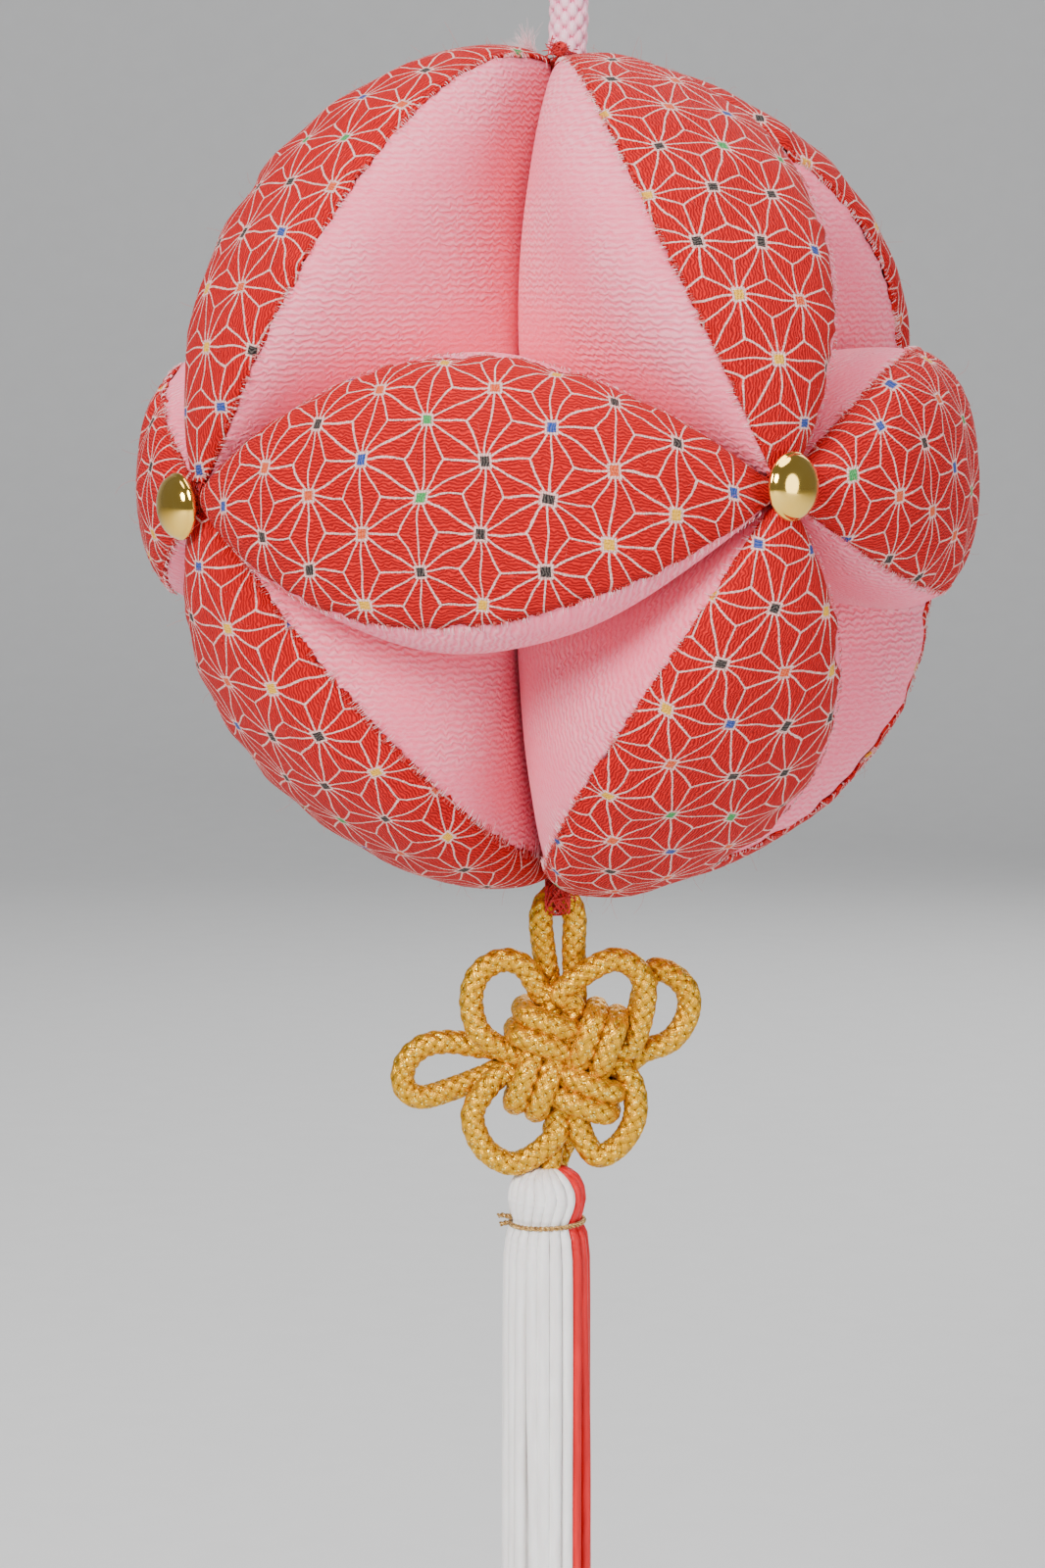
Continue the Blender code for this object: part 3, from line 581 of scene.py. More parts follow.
def weave_finish(colours, spacing):
    """Red ribbed weave with pale hemp-leaf lines and a small coloured square at every star, with painted
    shade in the ribs' grooves and painted light on their crests.
    """
    tree = Finish("red_weave", 0.74, sheen=0.02, specular=0.2)
    place = tree.pattern()
    moved = tree.vector("ADD", place, tree.shake(place, 0.11, 1.0, 2.6))
    moved = tree.vector("ADD", moved, tree.shake(place, 1.6, 2.0, 0.24))
    edge, star_x, star_y, key = tree.group("hemp_leaf", moved, spacing)
    line = tree.band(edge, 0.09, 0.19, 1.0, 0.0)
    reach = tree.math("MAXIMUM", tree.math("ABSOLUTE", star_x), tree.math("ABSOLUTE", star_y))
    dot = tree.band(reach, 0.64, 0.76, 1.0, 0.0)
    border = tree.band(reach, 0.92, 1.12, 1.0, 0.0)

    turned = tree.sideways(place)
    ribs = tree.group("wavy_ribs", turned, 0.50, 0.08, 2.2)[0]
    grain = tree.group("yarn_grain", turned, 3.6)[0]
    # Painted shade and light: the weave colour at 0.38 in the rib grooves and at 1.35 on the rib crests
    ground = tree.mix(ribs, colour(colours.weave, 0.38), colour(colours.weave, 1.35))
    ground = tree.mix(tree.band(grain, 0.3, 0.7, 0.0, 0.3), ground, colour((0.70, 0.002, 0.005)))
    cross = tree.group("wavy_ribs", place, 0.42, 0.05, 1.4)[0]
    # Painted shade: the line colour darker in the grooves of its cross ribs, paler on their crests
    pale = tree.mix(cross, colour(colours.leaf, 0.78), colour((1.0, 0.66, 0.60)))

    key = tree.vector("ADD", key, (7.0, 3.0, 0.0))
    key = tree.flow("ShaderNodeTexWhiteNoise", "Value", {"Vector": key}, noise_dimensions="3D")
    ramp = tree.node("ShaderNodeValToRGB", {0: key})
    ramp.color_ramp.interpolation = "CONSTANT"
    for _ in DOT_COLOURS[2:]:
        ramp.color_ramp.elements.new(0.5)
    for number, (element, shade) in enumerate(zip(ramp.color_ramp.elements, DOT_COLOURS)):
        element.position, element.color = number / len(DOT_COLOURS), colour(shade)
    # Painted highlight: a little pale cream on the crests of the squares' cross ribs
    thread = tree.mix(cross * 0.12, Flow(tree, ramp.outputs[0]), colour((0.9, 0.75, 0.65)))
    patterned = tree.mix(tree.math("MAXIMUM", line, border), ground, pale)
    raised = tree.math("MAXIMUM", line, dot) * (cross * 0.3 + 0.25)
    return tree.done(tree.mix(dot, patterned, thread), ribs * 0.5 + grain * 0.35 + raised, 0.00030, 0.9)


def yarn_finish(name, tones, roughness, metallic=0.0, sheen=0.2):
    """Spun yarn: streaks of a lighter and a deeper colour, and a fine fibre relief."""
    base, light, deep = map(colour, tones)
    tree = Finish(name, roughness, metallic, sheen=sheen)
    place = tree.place(1000.0, 1000.0, 1000.0)
    streak = tree.noise(place, 2.1, 3.0, 0.6)
    speck = tree.noise(place, 6.0, 2.0, 0.6)
    shade = tree.mix(tree.band(streak, 0.35, 0.65), deep, base)
    shade = tree.mix(tree.band(speck, 0.50, 0.72), shade, light)
    return tree.done(shade, streak + speck, 0.00012, 0.7)


def braid_finish(name, braid, tones, roughness, metallic=0.0, foil_size=0.0):
    """Braided yarn: painted shade of deep colour in the gaps, painted highlight of light colour on the
    pillows, fine plies on every pillow, and flecks of foil in lame.
    """
    base, light, deep = map(colour, tones)
    tree = Finish(name, roughness, metallic, specular=0.35)
    values = (braid.strands, braid.pitch / MM, radians(braid.tilt))
    pillow, ply = tree.group("braid_cells", tree.pattern(), *values)
    place = tree.place(1000.0, 1000.0, 1000.0)
    speck = tree.noise(place, 2.6, 3.0, 0.6)
    height = tree.wave(ply * 7) * 0.10 + pillow
    # Painted shade: the deep colour in the gaps between pillows and in the plies' grooves
    shade = tree.mix(tree.band(height, 0.0, 0.55), deep, base)
    # Painted highlight: the light colour on the pillows' raised crowns
    shade = tree.mix(tree.band(speck * 0.8 + height, 1.1, 1.5), shade, light)
    if foil_size:
        foil = tree.flow("ShaderNodeTexVoronoi", "Distance", {"Vector": place, "Scale": 1 / foil_size})
        fleck = tree.band(foil, 0.16, 0.34, 1.0, 0.0)
        shade = tree.mix(fleck, shade, colour((1.0, 0.80, 0.20)))
        tree.feed(tree.shader["Roughness"], fleck * -0.22 + roughness)
        height = height + foil * 0.6
    return tree.done(shade, speck * 0.3 + height, 0.00022, 0.8)


def button_finish(colours):
    """Polished plated metal with faint smears and fine scratches."""
    tree = Finish("gold_button", 0.08, 1.0)
    smear = tree.noise(tree.flow("ShaderNodeTexCoord", "Object"), 260.0, 3.0, 0.6)
    scratch = tree.noise(tree.place(5200.0, 5200.0, 900.0), 1.0)
    tree.feed(tree.shader["Roughness"], tree.band(smear, 0.35, 0.75, 0.045, 0.13))
    shade = tree.mix(smear, colour(colours.button), colour((1.0, 0.70, 0.18)))
    return tree.done(shade, scratch, 0.000004, 0.25)


def strand_finish(name, base, deep):
    """Glossy floss: fine turns across each strand with painted shade in their grooves, and a soft change of
    tone from strand to strand.
    """
    tree = Finish(name, 0.45, sheen=0.03, subsurface=0.08, specular=0.35)
    fine = tree.group("wavy_ribs", tree.sideways(tree.pattern(), (1.5, 1.0, 1.0)), 0.36, 0.03, 0.9)[0]
    tone = tree.noise(tree.place(900.0, 900.0, 120.0), 1.0)
    shade = tree.mix(tree.band(tone, 0.3, 0.7), colour(deep), colour(base))
    # Painted shade: up to a quarter of the deep colour in the grooves between the fine turns
    shade = tree.mix((1.0 - fine) * 0.25, shade, colour(deep))
    return tree.done(shade, tone * 0.6 + fine, 0.00009, 0.6)


def floor_finish():
    """Matt pale board with a barely visible tooth."""
    tree = Finish("pale_floor", 0.85, specular=0.2)
    tooth = tree.noise(tree.flow("ShaderNodeTexCoord", "Object"), 90.0, 3.0)
    shade = tree.mix(tooth, colour((0.72, 0.72, 0.715)), colour((0.76, 0.76, 0.755)))
    return tree.done(shade, tooth, 0.0002, 0.2)


FINISHES = {}


def finish(name):
    """The named finish, made with all the others on first use."""
    if not FINISHES:
        colours, sizes = bpy.context.scene.temari_colours, bpy.context.scene.temari_sizes
        for build in (build_wavy_ribs, build_yarn_grain, build_braid_cells, build_hemp_leaf):
            build()
        # Braid tones: base colour, painted highlight, painted shade
        pink_base_highlight_shade = (colours.braid, (1.0, 0.70, 0.78), (0.84, 0.10, 0.24))
        gold_base_highlight_shade = (colours.gold, (0.84, 0.42, 0.02), (0.22, 0.05, 0.0))
        wire_tones = ((0.66, 0.40, 0.11), (0.95, 0.76, 0.38), (0.30, 0.13, 0.03))
        thread_tones = (colours.thread, (0.80, 0.03, 0.03), (0.34, 0.001, 0.003))
        red_tones = ((0.80, 0.10, 0.09), (0.9, 0.3, 0.25), (0.6, 0.03, 0.03))
        pale_tones = ((1.0, 0.66, 0.68), (1.0, 0.85, 0.84), (0.95, 0.5, 0.55))
        FINISHES.update(
            crepe=crepe_finish(colours),
            weave=weave_finish(colours, sizes.leaf_spacing),
            braid=braid_finish("pink_braid", PINK_BRAID, pink_base_highlight_shade, 0.5),
            gold=braid_finish("gold_cord", GOLD_BRAID, gold_base_highlight_shade, 0.40, 0.8, foil_size=0.60),
            wire=yarn_finish("gold_wire", wire_tones, 0.35, 0.8),
            button=button_finish(colours),
            thread=yarn_finish("red_thread", thread_tones, 0.65, sheen=0.03),
            red_fibre=yarn_finish("red_fibre", red_tones, 0.7),
            pink_fibre=yarn_finish("pink_fibre", pale_tones, 0.7),
            white=strand_finish("white_strands", (1.0, 0.98, 0.96), (0.90, 0.86, 0.84)),
            red=strand_finish("red_strands", (0.85, 0.002, 0.010), (0.62, 0.0, 0.004)),
            floor=floor_finish(),
        )
    return FINISHES[name]


# ---------------------------------------------------------------- wedges


def direction(azimuth, elevation):
    """Unit vector at an azimuth from the front towards the right, and an elevation, in degrees."""
    turn, rise = radians(azimuth), radians(elevation)
    return np.array([sin(turn) * cos(rise), -cos(turn) * cos(rise), sin(rise)])


class Wedge:
    """One wedge in half-planes that fan about the axis square to its two corners.

    theta turns from one corner to the other. In each half-plane a point has a distance r from the
    ball's centre line and a height h to the side. Along the section, c runs from 0 at the inner edge
    to 1 at the crown: r grows evenly with c, and h is the width times the sine of the section's
    angle, times c to SIDE_FULLNESS, where c is the angle's cosine to 2 / CROWN_SQUARENESS.
    """

    def __init__(self, name, radius):
        start, end = (direction(*CORNERS[corner]) for corner in name.split("-"))
        self.name, self.radius, self.form = name, radius, WEDGE_FORM[name]
        self.axis = np.cross(start, end)
        self.axis /= np.linalg.norm(self.axis)
        self.start, self.end = start, end
        self.along = np.cross(self.axis, start)
        self.span = acos(float(start @ end))
        sides = [direction(*CORNERS[c]) for c in CORNERS if c not in name.split("-")]
        heights = [float(side @ self.axis) for side in sides]
        self.neighbours = {
            side: np.linalg.inv(np.column_stack([start, end, sides[pick(heights)]]))
            for side, pick in ((1, lambda h: h.index(max(h))), (-1, lambda h: h.index(min(h))))
        }

    def place(self, theta, r, h):
        """Points in space, with each h kept on its own side of the planes shared with neighbours."""
        outward = np.cos(theta)[..., None] * self.start + np.sin(theta)[..., None] * self.along
        for side, shares in self.neighbours.items():
            first, second, _ = np.moveaxis(outward @ shares.T, -1, 0)
            axis_first, axis_second, axis_third = shares @ (side * self.axis)
            room = np.minimum((r * first - CREASE_GAP) / (axis_third - axis_first),
                              (r * second - CREASE_GAP) / (axis_third - axis_second))
            overlap = np.maximum(0, 1 - np.abs(h * side - room) / CREASE_SOFTNESS)
            kept = np.minimum(h * side, room) - CREASE_SOFTNESS * overlap**2 / 4
            h = np.where(h * side > 0, side * np.maximum(kept, 0), h)
        return CENTRE + r[..., None] * outward + h[..., None] * self.axis

    def rows(self, count):
        return np.linspace(TIP_CUT, self.span - TIP_CUT, count)[:, None]

    def form_at(self, column, theta):
        """One of the wedge's own values, changing evenly from its first corner to its second."""
        return np.interp(theta, (0, self.span), self.form[column])

    def outline(self, theta, angle, depth):
        """Section r, h, where depth is how far the point lies under the cloth's outer face."""
        swell = np.sin(pi * theta / self.span)
        tip = TIP_SHARE * self.radius
        inner = tip - (tip - INNER_SHARE * self.radius) * np.sqrt(swell)
        top = self.radius * self.form_at(HEIGHT, theta)
        crown = top - (top - tip) * (1 - swell) ** TIP_DIP
        width = WIDTH_SHARE * self.radius * self.form_at(WIDTH, theta) * swell**0.85
        c = np.abs(np.cos(angle)) ** (2 / CROWN_SQUARENESS)
        r = inner + (crown - depth - inner) * c
        lean = self.form_at(LEAN, theta) * self.radius * swell * c**2
        return r, (width - depth) * np.sin(angle) * c**SIDE_FULLNESS + lean

    def seams(self, theta):
        return (np.radians(self.form_at(seam, theta)) for seam in (FIRST_SEAM, SECOND_SEAM))

    def half_width(self, theta):
        return WIDTH_SHARE * self.radius * np.sin(pi * theta / self.span) ** 0.85

    def seam_line(self, theta, side, inward, depth):
        """Points near one seam, inward metres inside the crown panel's edge."""
        seam = np.radians(self.form_at(SECOND_SEAM if side > 0 else FIRST_SEAM, theta))
        angle = seam - side * inward / np.maximum(self.half_width(theta), 1e-3)
        return self.place(theta, *self.outline(theta, angle, depth))


def wedge_list(radius):
    return [Wedge(name, radius) for name in WEDGE_FORM]


BODY_ROWS, BODY_CROWN, BODY_SIDE = 112, 12, 34
# How deep the body lies under the panel and at its seam, and its soft unevenness
CROWN_SINK, SEAM_SINK, SOFTNESS = 0.75 * MM, 0.45 * MM, 0.35 * MM
# Gathers: how deep they are, and the wedge's length in the units of their waves
PUCKER, PUCKER_SPAN = 0.30 * MM, 95


def seam_place(theta, span, seed):
    """Points for waves along a seam: the share of the way along it, and the seed as its own line."""
    return np.stack([theta / span * PUCKER_SPAN, np.full_like(theta, seed), np.zeros_like(theta)], -1)


def pucker(theta, span, seed):
    """Uneven gathers along a seam: 1 on a gather's ridge, about every 3 mm, from random waves."""
    place = seam_place(theta, span, seed)
    return waves(place, 3.1, seed) * 0.6 + waves(place, 7.0, seed + 1) * 0.4


def turned_map(first, second, turn):
    """The pattern map whose axes are these two lengths, turned by an angle."""
    return np.stack([first * cos(turn) - second * sin(turn), first * sin(turn) + second * cos(turn)], -1)


def gathers(theta, wedge, on_second, seed):
    """Gathers beside the nearer of the two seams, fading out at the tips."""
    first, second = (pucker(theta, wedge.span, seed + shift) for shift in (7, 0))
    swell = np.sin(pi * theta / wedge.span)
    return PUCKER * np.where(on_second, second, first) * np.minimum(1, 2 * swell)


def body_piece(wedge, seed):
    """The stuffed crepe body: a closed section carried from tip to tip, gathered beside its seams."""
    theta = wedge.rows(BODY_ROWS)
    low, high = wedge.seams(theta)
    share = np.linspace(0, 1, BODY_CROWN)
    parts = [(low + (high - low) * share, CROWN_SINK * np.ones_like(theta * share), np.zeros(BODY_CROWN))]
    for side, seam in ((1, high), (-1, low)):
        t = np.linspace(0, 1, BODY_SIDE + 1)[1:]
        c = np.cos(seam) ** (2 / CROWN_SQUARENESS) * (1 - t**1.6)
        angle = side * np.arccos(np.clip(c, 0, 1) ** (CROWN_SQUARENESS / 2))
        depth = SEAM_SINK * np.exp(-t / 0.05) * np.ones_like(theta)
        near = np.exp(-(((t - 0.05) / 0.09) ** 2)) * side
        if side < 0:
            angle, depth, near = angle[:, ::-1][:, 1:], depth[:, ::-1][:, 1:], near[::-1][1:]
        parts.append((angle, depth, near))
    angle = np.concatenate([part[0] for part in parts], 1)
    depth = np.concatenate([part[1] for part in parts], 1)
    near = np.concatenate([part[2] for part in parts])[None, :]
    theta = np.broadcast_to(theta, angle.shape)
    depth = depth + np.abs(near) * gathers(theta, wedge, near > 0, seed)
    r, h = wedge.outline(theta, angle, depth)
    points = wedge.place(theta, r, h)
    soft = waves(points, 0.024, seed + 3) * SOFTNESS * np.minimum(1, np.abs(h) / (3 * MM))
    points = wedge.place(theta, r, h + np.sign(h) * (soft - SOFTNESS))
    flat = (points - CENTRE) / MM
    turn = radians(CREPE_TURN.get(wedge.name, 0))
    first, second = flat @ wedge.start, flat @ wedge.along
    return closed_piece(f"body_{wedge.name}", points, finish("crepe"), turned_map(first, second, turn))


PANEL_ROWS, PANEL_SPANS = 280, 16
# The panel's thickness, how deep it lies in the crepe, how far its cut edge is pressed in, and the
# reach of its frayed teeth (random and in waves) and of its own lumps, in metres
PANEL_THICKNESS, PANEL_SINK, PANEL_PRESS = 0.55 * MM, 0.1 * MM, 0.22 * MM
TEETH, TOOTH_WAVES, LUMPS = 0.53 * MM, 0.30 * MM, 0.25 * MM


def panel_piece(wedge, seed):
    """The woven crown panel with its frayed edges. Returns the piece and its cut size.

    Columns run from seam to seam. Near each seam the edge is pushed out and in by fine teeth and
    longer waves. The pattern map is the arc length along the crown and across it, in millimetres.
    """
    random = np.random.default_rng(seed)
    theta = wedge.rows(PANEL_ROWS)
    low, high = wedge.seams(theta)
    share = np.linspace(0, 1, PANEL_SPANS)
    share = 0.35 * (0.5 - 0.5 * np.cos(pi * share)) + 0.65 * share
    angle = low + (high - low) * share
    wide = np.maximum(wedge.half_width(theta), 2 * MM)
    swell = np.sin(pi * theta / wedge.span)
    place = seam_place(theta[:, 0], wedge.span, seed)
    for side, column in ((-1, slice(0, 2)), (1, slice(PANEL_SPANS - 2, PANEL_SPANS))):
        teeth = random.uniform(0, TEETH, (PANEL_ROWS, 1))
        teeth += TOOTH_WAVES * waves(place, 2.3, seed + 5 + side)[:, None]
        angle[:, column] += side * teeth / wide * np.minimum(1, 1.4 * swell)
    near = np.minimum(share, 1 - share)[None, :]
    tuck = gathers(theta, wedge, share[None, :] > 0.5, seed) * np.exp(-((near / 0.10) ** 2))
    spots = np.stack(np.broadcast_arrays(theta * 60, share[None, :] * 22, 0.0), -1)
    lumps = LUMPS * waves(spots, 9, seed + 2)
    pressed = PANEL_PRESS * np.exp(-near / 0.02)
    theta = np.broadcast_to(theta, angle.shape)
    sheets = [wedge.place(theta, *wedge.outline(theta, angle, depth + tuck + lumps * swell))
              for depth in (PANEL_THICKNESS - PANEL_SINK, pressed - PANEL_SINK)]
    outer = sheets[1]
    middle = PANEL_SPANS // 2
    across = np.cumsum(np.linalg.norm(np.diff(outer, axis=1, prepend=outer[:, :1]), axis=2), 1)
    across -= across[:, middle:middle + 1]
    stations = np.linspace(0, PANEL_ROWS - 1, 24).round().astype(int)
    along = np.interp(np.arange(PANEL_ROWS), stations, lengths_along(outer[stations, middle]))
    widths = across[:, -1] - across[:, 0]
    flat = (float(widths.max()) + 0.2 * MM, float(along[-1]))
    area = float(((widths[1:] + widths[:-1]) / 2 * np.diff(along)).sum())
    shift_along, shift_across, turn = CUT[wedge.name]
    first = (along[:, None] - along[-1] / 2) / MM + 0 * across
    corners = turned_map(first, across / MM, radians(turn)) + (shift_along, shift_across)
    points = np.concatenate([sheets[0], sheets[1][:, ::-1]], 1)
    corners = np.concatenate([corners, corners[:, ::-1]], 1)
    rows, around = points.shape[:2]
    quads = grid_faces(rows, around)
    strips = []
    j = np.arange(around // 2 - 1)
    for start, order in ((0, -1), ((rows - 1) * around, 1)):
        strip = start + np.stack([j, j + 1, around - 2 - j, around - 1 - j], -1)
        strips.append(strip[:, ::order])
    quads = np.concatenate([quads] + strips)
    piece = make_piece(f"panel_{wedge.name}", points, quads, finish("weave"), (), corners)
    return piece, flat, area


def turn_outwards(piece):
    """Turns a closed piece's faces outwards: its signed volume must be positive."""
    mesh = piece.data
    mesh.calc_loop_triangles()
    corners = np.empty(len(mesh.loop_triangles) * 3, np.int32)
    mesh.loop_triangles.foreach_get("vertices", corners)
    places = np.empty(len(mesh.vertices) * 3)
    mesh.vertices.foreach_get("co", places)
    triangle = places.reshape(-1, 3)[corners.reshape(-1, 3)]
    volume = np.einsum("ij,ij->i", triangle[:, 0], np.cross(triangle[:, 1], triangle[:, 2])).sum()
    if volume < 0:
        mesh.flip_normals()
    return piece


class TEMARI_OT_wedges(bpy.types.Operator):
    """Makes the twelve stuffed crepe wedges"""

    bl_idname = "temari.wedges"
    bl_label = "Stuffed wedges"

    def execute(self, context):
        for number, wedge in enumerate(wedge_list(context.scene.temari_sizes.ball_radius)):
            piece = turn_outwards(body_piece(wedge, 100 + 20 * number))
            settle(piece, "pink_crepe", f"segment_{wedge.name}")
        return {"FINISHED"}


class TEMARI_OT_panels(bpy.types.Operator):
    """Makes the twelve woven crown panels"""

    bl_idname = "temari.panels"
    bl_label = "Crown panels"

    def execute(self, context):
        for number, wedge in enumerate(wedge_list(context.scene.temari_sizes.ball_radius)):
            piece, flat, area = panel_piece(wedge, 100 + 20 * number)
            settle(turn_outwards(piece), "red_weave", f"crown_{wedge.name}")
        return {"FINISHED"}


# ---------------------------------------------------------------- fibres and seams


def seam_fibres(wedges, inward, seed, per_seam, reach, spread):
    """Short threads across every seam: each starts inside the panel's edge and ends on the crepe."""
    random = np.random.default_rng(seed)
    routes = []
    for wedge in wedges:
        for side in (1, -1):
            theta = np.sort(random.uniform(0.06, wedge.span - 0.06, per_seam))
            lengths = random.uniform(*reach, per_seam)
            lean = random.uniform(-spread, spread, per_seam)
            steps = np.linspace(0, 1, 4)
            row = theta[:, None] + lean[:, None] * steps / 0.065
            shift = inward - lengths[:, None] * steps
            lift = random.uniform(-0.05, 0.25, (per_seam, 1)) * MM * np.sin(pi * steps)
            routes.append(wedge.seam_line(row, side, shift, -0.12 * MM - lift))
    return np.concatenate(routes)


def loose_fibres(wedges, seed, per_panel):
    """Fine stray hairs that rise from the panels and curl over."""
    random = np.random.default_rng(seed)
    routes = []
    for wedge in wedges:
        theta = random.uniform(0.08, wedge.span - 0.08, (per_panel, 1))
        low, high = wedge.seams(theta)
        angle = low + (high - low) * random.uniform(0, 1, (per_panel, 1))
        root = wedge.place(theta, *wedge.outline(theta, angle, -0.05 * MM))[:, 0]
        out = root - CENTRE
        out /= np.linalg.norm(out, axis=1, keepdims=True)
        drift = random.normal(size=(per_panel, 3))
        bend = random.normal(size=(per_panel, 3))
        steps = np.linspace(0, 1, 5)[:, None]
        usual, longer = (random.uniform(0, 1, (per_panel, 1, 1)) for _ in range(2))
        length = (0.4 + 1.1 * usual + 2.4 * longer**9) * MM
        way = out[:, None] * (1 - 0.45 * steps) + drift[:, None] * 0.45 + bend[:, None] * steps * 0.4
        routes.append(root[:, None] + length * steps * way)
    return np.concatenate(routes)


def fibre_tuft(place, heading, width, reach, count, seed):
    """A frayed tuft of hairs from one spot: they fan out about a heading and curl at their ends."""
    random = np.random.default_rng(seed)
    root = np.array(place) + random.normal(0, width, (count, 1, 3))
    fan = np.array(heading) + random.normal(0, 0.35, (count, 1, 3))
    curl = random.normal(0, 0.5, (count, 1, 3))
    steps = np.linspace(0, 1, 6)[:, None]
    return root + reach * random.uniform(0.4, 1.0, (count, 1, 1)) * (fan * steps + curl * steps**2)


class TEMARI_OT_seams(bpy.types.Operator):
    """Makes the frayed threads at the seams and the stray hairs of the cloth"""

    bl_idname = "temari.seams"
    bl_label = "Seam threads and stray hairs"

    def execute(self, context):
        wedges = wedge_list(context.scene.temari_sizes.ball_radius)
        red = seam_fibres(wedges, 0.5 * MM, 11, 150, (0.7 * MM, 1.9 * MM), 0.35 * MM)
        settle(many_tubes("seam_threads_red", red, 0.05 * MM, 3, finish("red_fibre")), "red_weave")
        pink = seam_fibres(wedges, 0.0, 12, 130, (0.7 * MM, 1.8 * MM), 0.25 * MM)
        settle(many_tubes("seam_threads_pink", pink, 0.05 * MM, 3, finish("pink_fibre")), "pink_crepe")
        root = (-4.6 * MM, -3.0 * MM, CENTRE_Z + 63.6 * MM)
        tuft = fibre_tuft(root, (-0.5, -0.1, 1.0), 0.6 * MM, 2.6 * MM, 150, 14)
        taper = np.linspace(0.035, 0.015, 6) * MM
        settle(many_tubes("frayed_tuft", tuft, taper, 3, finish("pink_fibre")), "pink_crepe")
        hairs = loose_fibres(wedges, 13, 120)
        taper = np.linspace(0.022, 0.012, 5) * MM
        settle(many_tubes("stray_hairs", hairs, taper, 3, finish("red_fibre")), "red_weave")
        return {"FINISHED"}


# ---------------------------------------------------------------- buttons and threads


def corner_frame(corner, out, shift=(0, 0), lean=(0, 0)):
    """Frame with +Z out of the ball near a corner: shift and lean are degrees right and up."""
    azimuth, elevation = CORNERS[corner]
    azimuth, elevation = azimuth + shift[0], elevation + shift[1]
    spot = Vector(direction(azimuth, elevation) * out + CENTRE)
    facing = Vector(direction(azimuth + lean[0], elevation + lean[1]))
    return Matrix.Translation(spot) @ facing.to_track_quat("Z", "Y").to_matrix().to_4x4()


BUTTON_RADIUS = 5 * MM
BUTTON_SEAT = 64.2 * MM
BUTTON_TILT = {
    "front_right": ((-0.3, 0.8), (16, 0)),
    "front_left": ((-0.6, -1.0), (2, 0)),
    "back_left": ((0, 0.3), (4, 3)),
    "back_right": ((0.3, 0), (-5, 2)),
}


def button_piece(corner):
    """A domed metal button: a profile of shank, back, rolled rim and dome, turned about its axis."""
    rim = 0.55 * MM
    roll = np.radians(np.linspace(-90, 60, 9))
    rolled = np.stack([BUTTON_RADIUS - rim + rim * np.cos(roll), rim + rim * np.sin(roll)], 1)
    rise = np.radians(np.linspace(12, 90, 26))
    dome = np.stack([(BUTTON_RADIUS - 0.25 * MM) * np.cos(rise), 0.75 * MM + 2.5 * MM * np.sin(rise)], 1)
    foot = -3.4 * MM
    shank = np.array([(0.0001 * MM, foot), (1.1 * MM, foot), (1.1 * MM, -0.3 * MM), (1.4 * MM, 0)])
    profile = np.concatenate([shank, rolled, dome[:-1], [(0.0001 * MM, 3.25 * MM)]])
    turn = np.linspace(0, TURN, 56, endpoint=False)
    points = np.stack(np.broadcast_arrays(profile[:, :1] * np.cos(turn), profile[:, :1] * np.sin(turn),
                                          profile[:, 1:]), -1)
    points = carried(points, corner_frame(corner, BUTTON_SEAT, *BUTTON_TILT[corner]))
    return turn_outwards(closed_piece(f"dome_{corner}", points, finish("button")))


def coiled_threads(place, radius, rise, turns, count, seed, spread):
    """Loose turns of thread about a frame's Z axis: circles whose radius and height wander."""
    random = np.random.default_rng(seed)
    angle = np.linspace(0, TURN * turns, 20 * turns)
    start = random.uniform(0, TURN, (count, 1))
    wander = radius * (1 + spread * np.sin(angle * random.uniform(0.6, 1.9, (count, 1)) + start))
    height = rise * np.sin(angle * random.uniform(0.5, 1.5, (count, 1)) + start * 2)
    x, y = wander * np.cos(angle + start), wander * np.sin(angle + start)
    return carried(np.stack([x, y, height], -1), place)


def crossing_threads(place, reach, lift, count, seed):
    """Threads that cross a pit from side to side, sagging or arching a little on the way."""
    random = np.random.default_rng(seed)
    steps = np.linspace(0, 1, 12)
    heading = random.uniform(0, TURN, (count, 1))
    turn = heading + random.uniform(1.6, 4.6, (count, 1))
    far = reach * random.uniform(0.55, 1.0, (count, 1))
    x = far * (np.cos(heading) * (1 - steps) + np.cos(turn) * steps)
    y = far * (np.sin(heading) * (1 - steps) + np.sin(turn) * steps)
    arch = random.uniform(0.2, 1.0, (count, 1)) * lift * np.sin(pi * steps)
    z = -0.25 * lift * np.hypot(x, y) / reach + arch
    return carried(np.stack([x, y, z], -1), place)


class TEMARI_OT_buttons(bpy.types.Operator):
    """Makes the four domed gold buttons"""

    bl_idname = "temari.buttons"
    bl_label = "Buttons"

    def execute(self, context):
        for corner in SIDE_CORNERS:
            settle(button_piece(corner), "gold_button", f"button_{corner}")
        return {"FINISHED"}


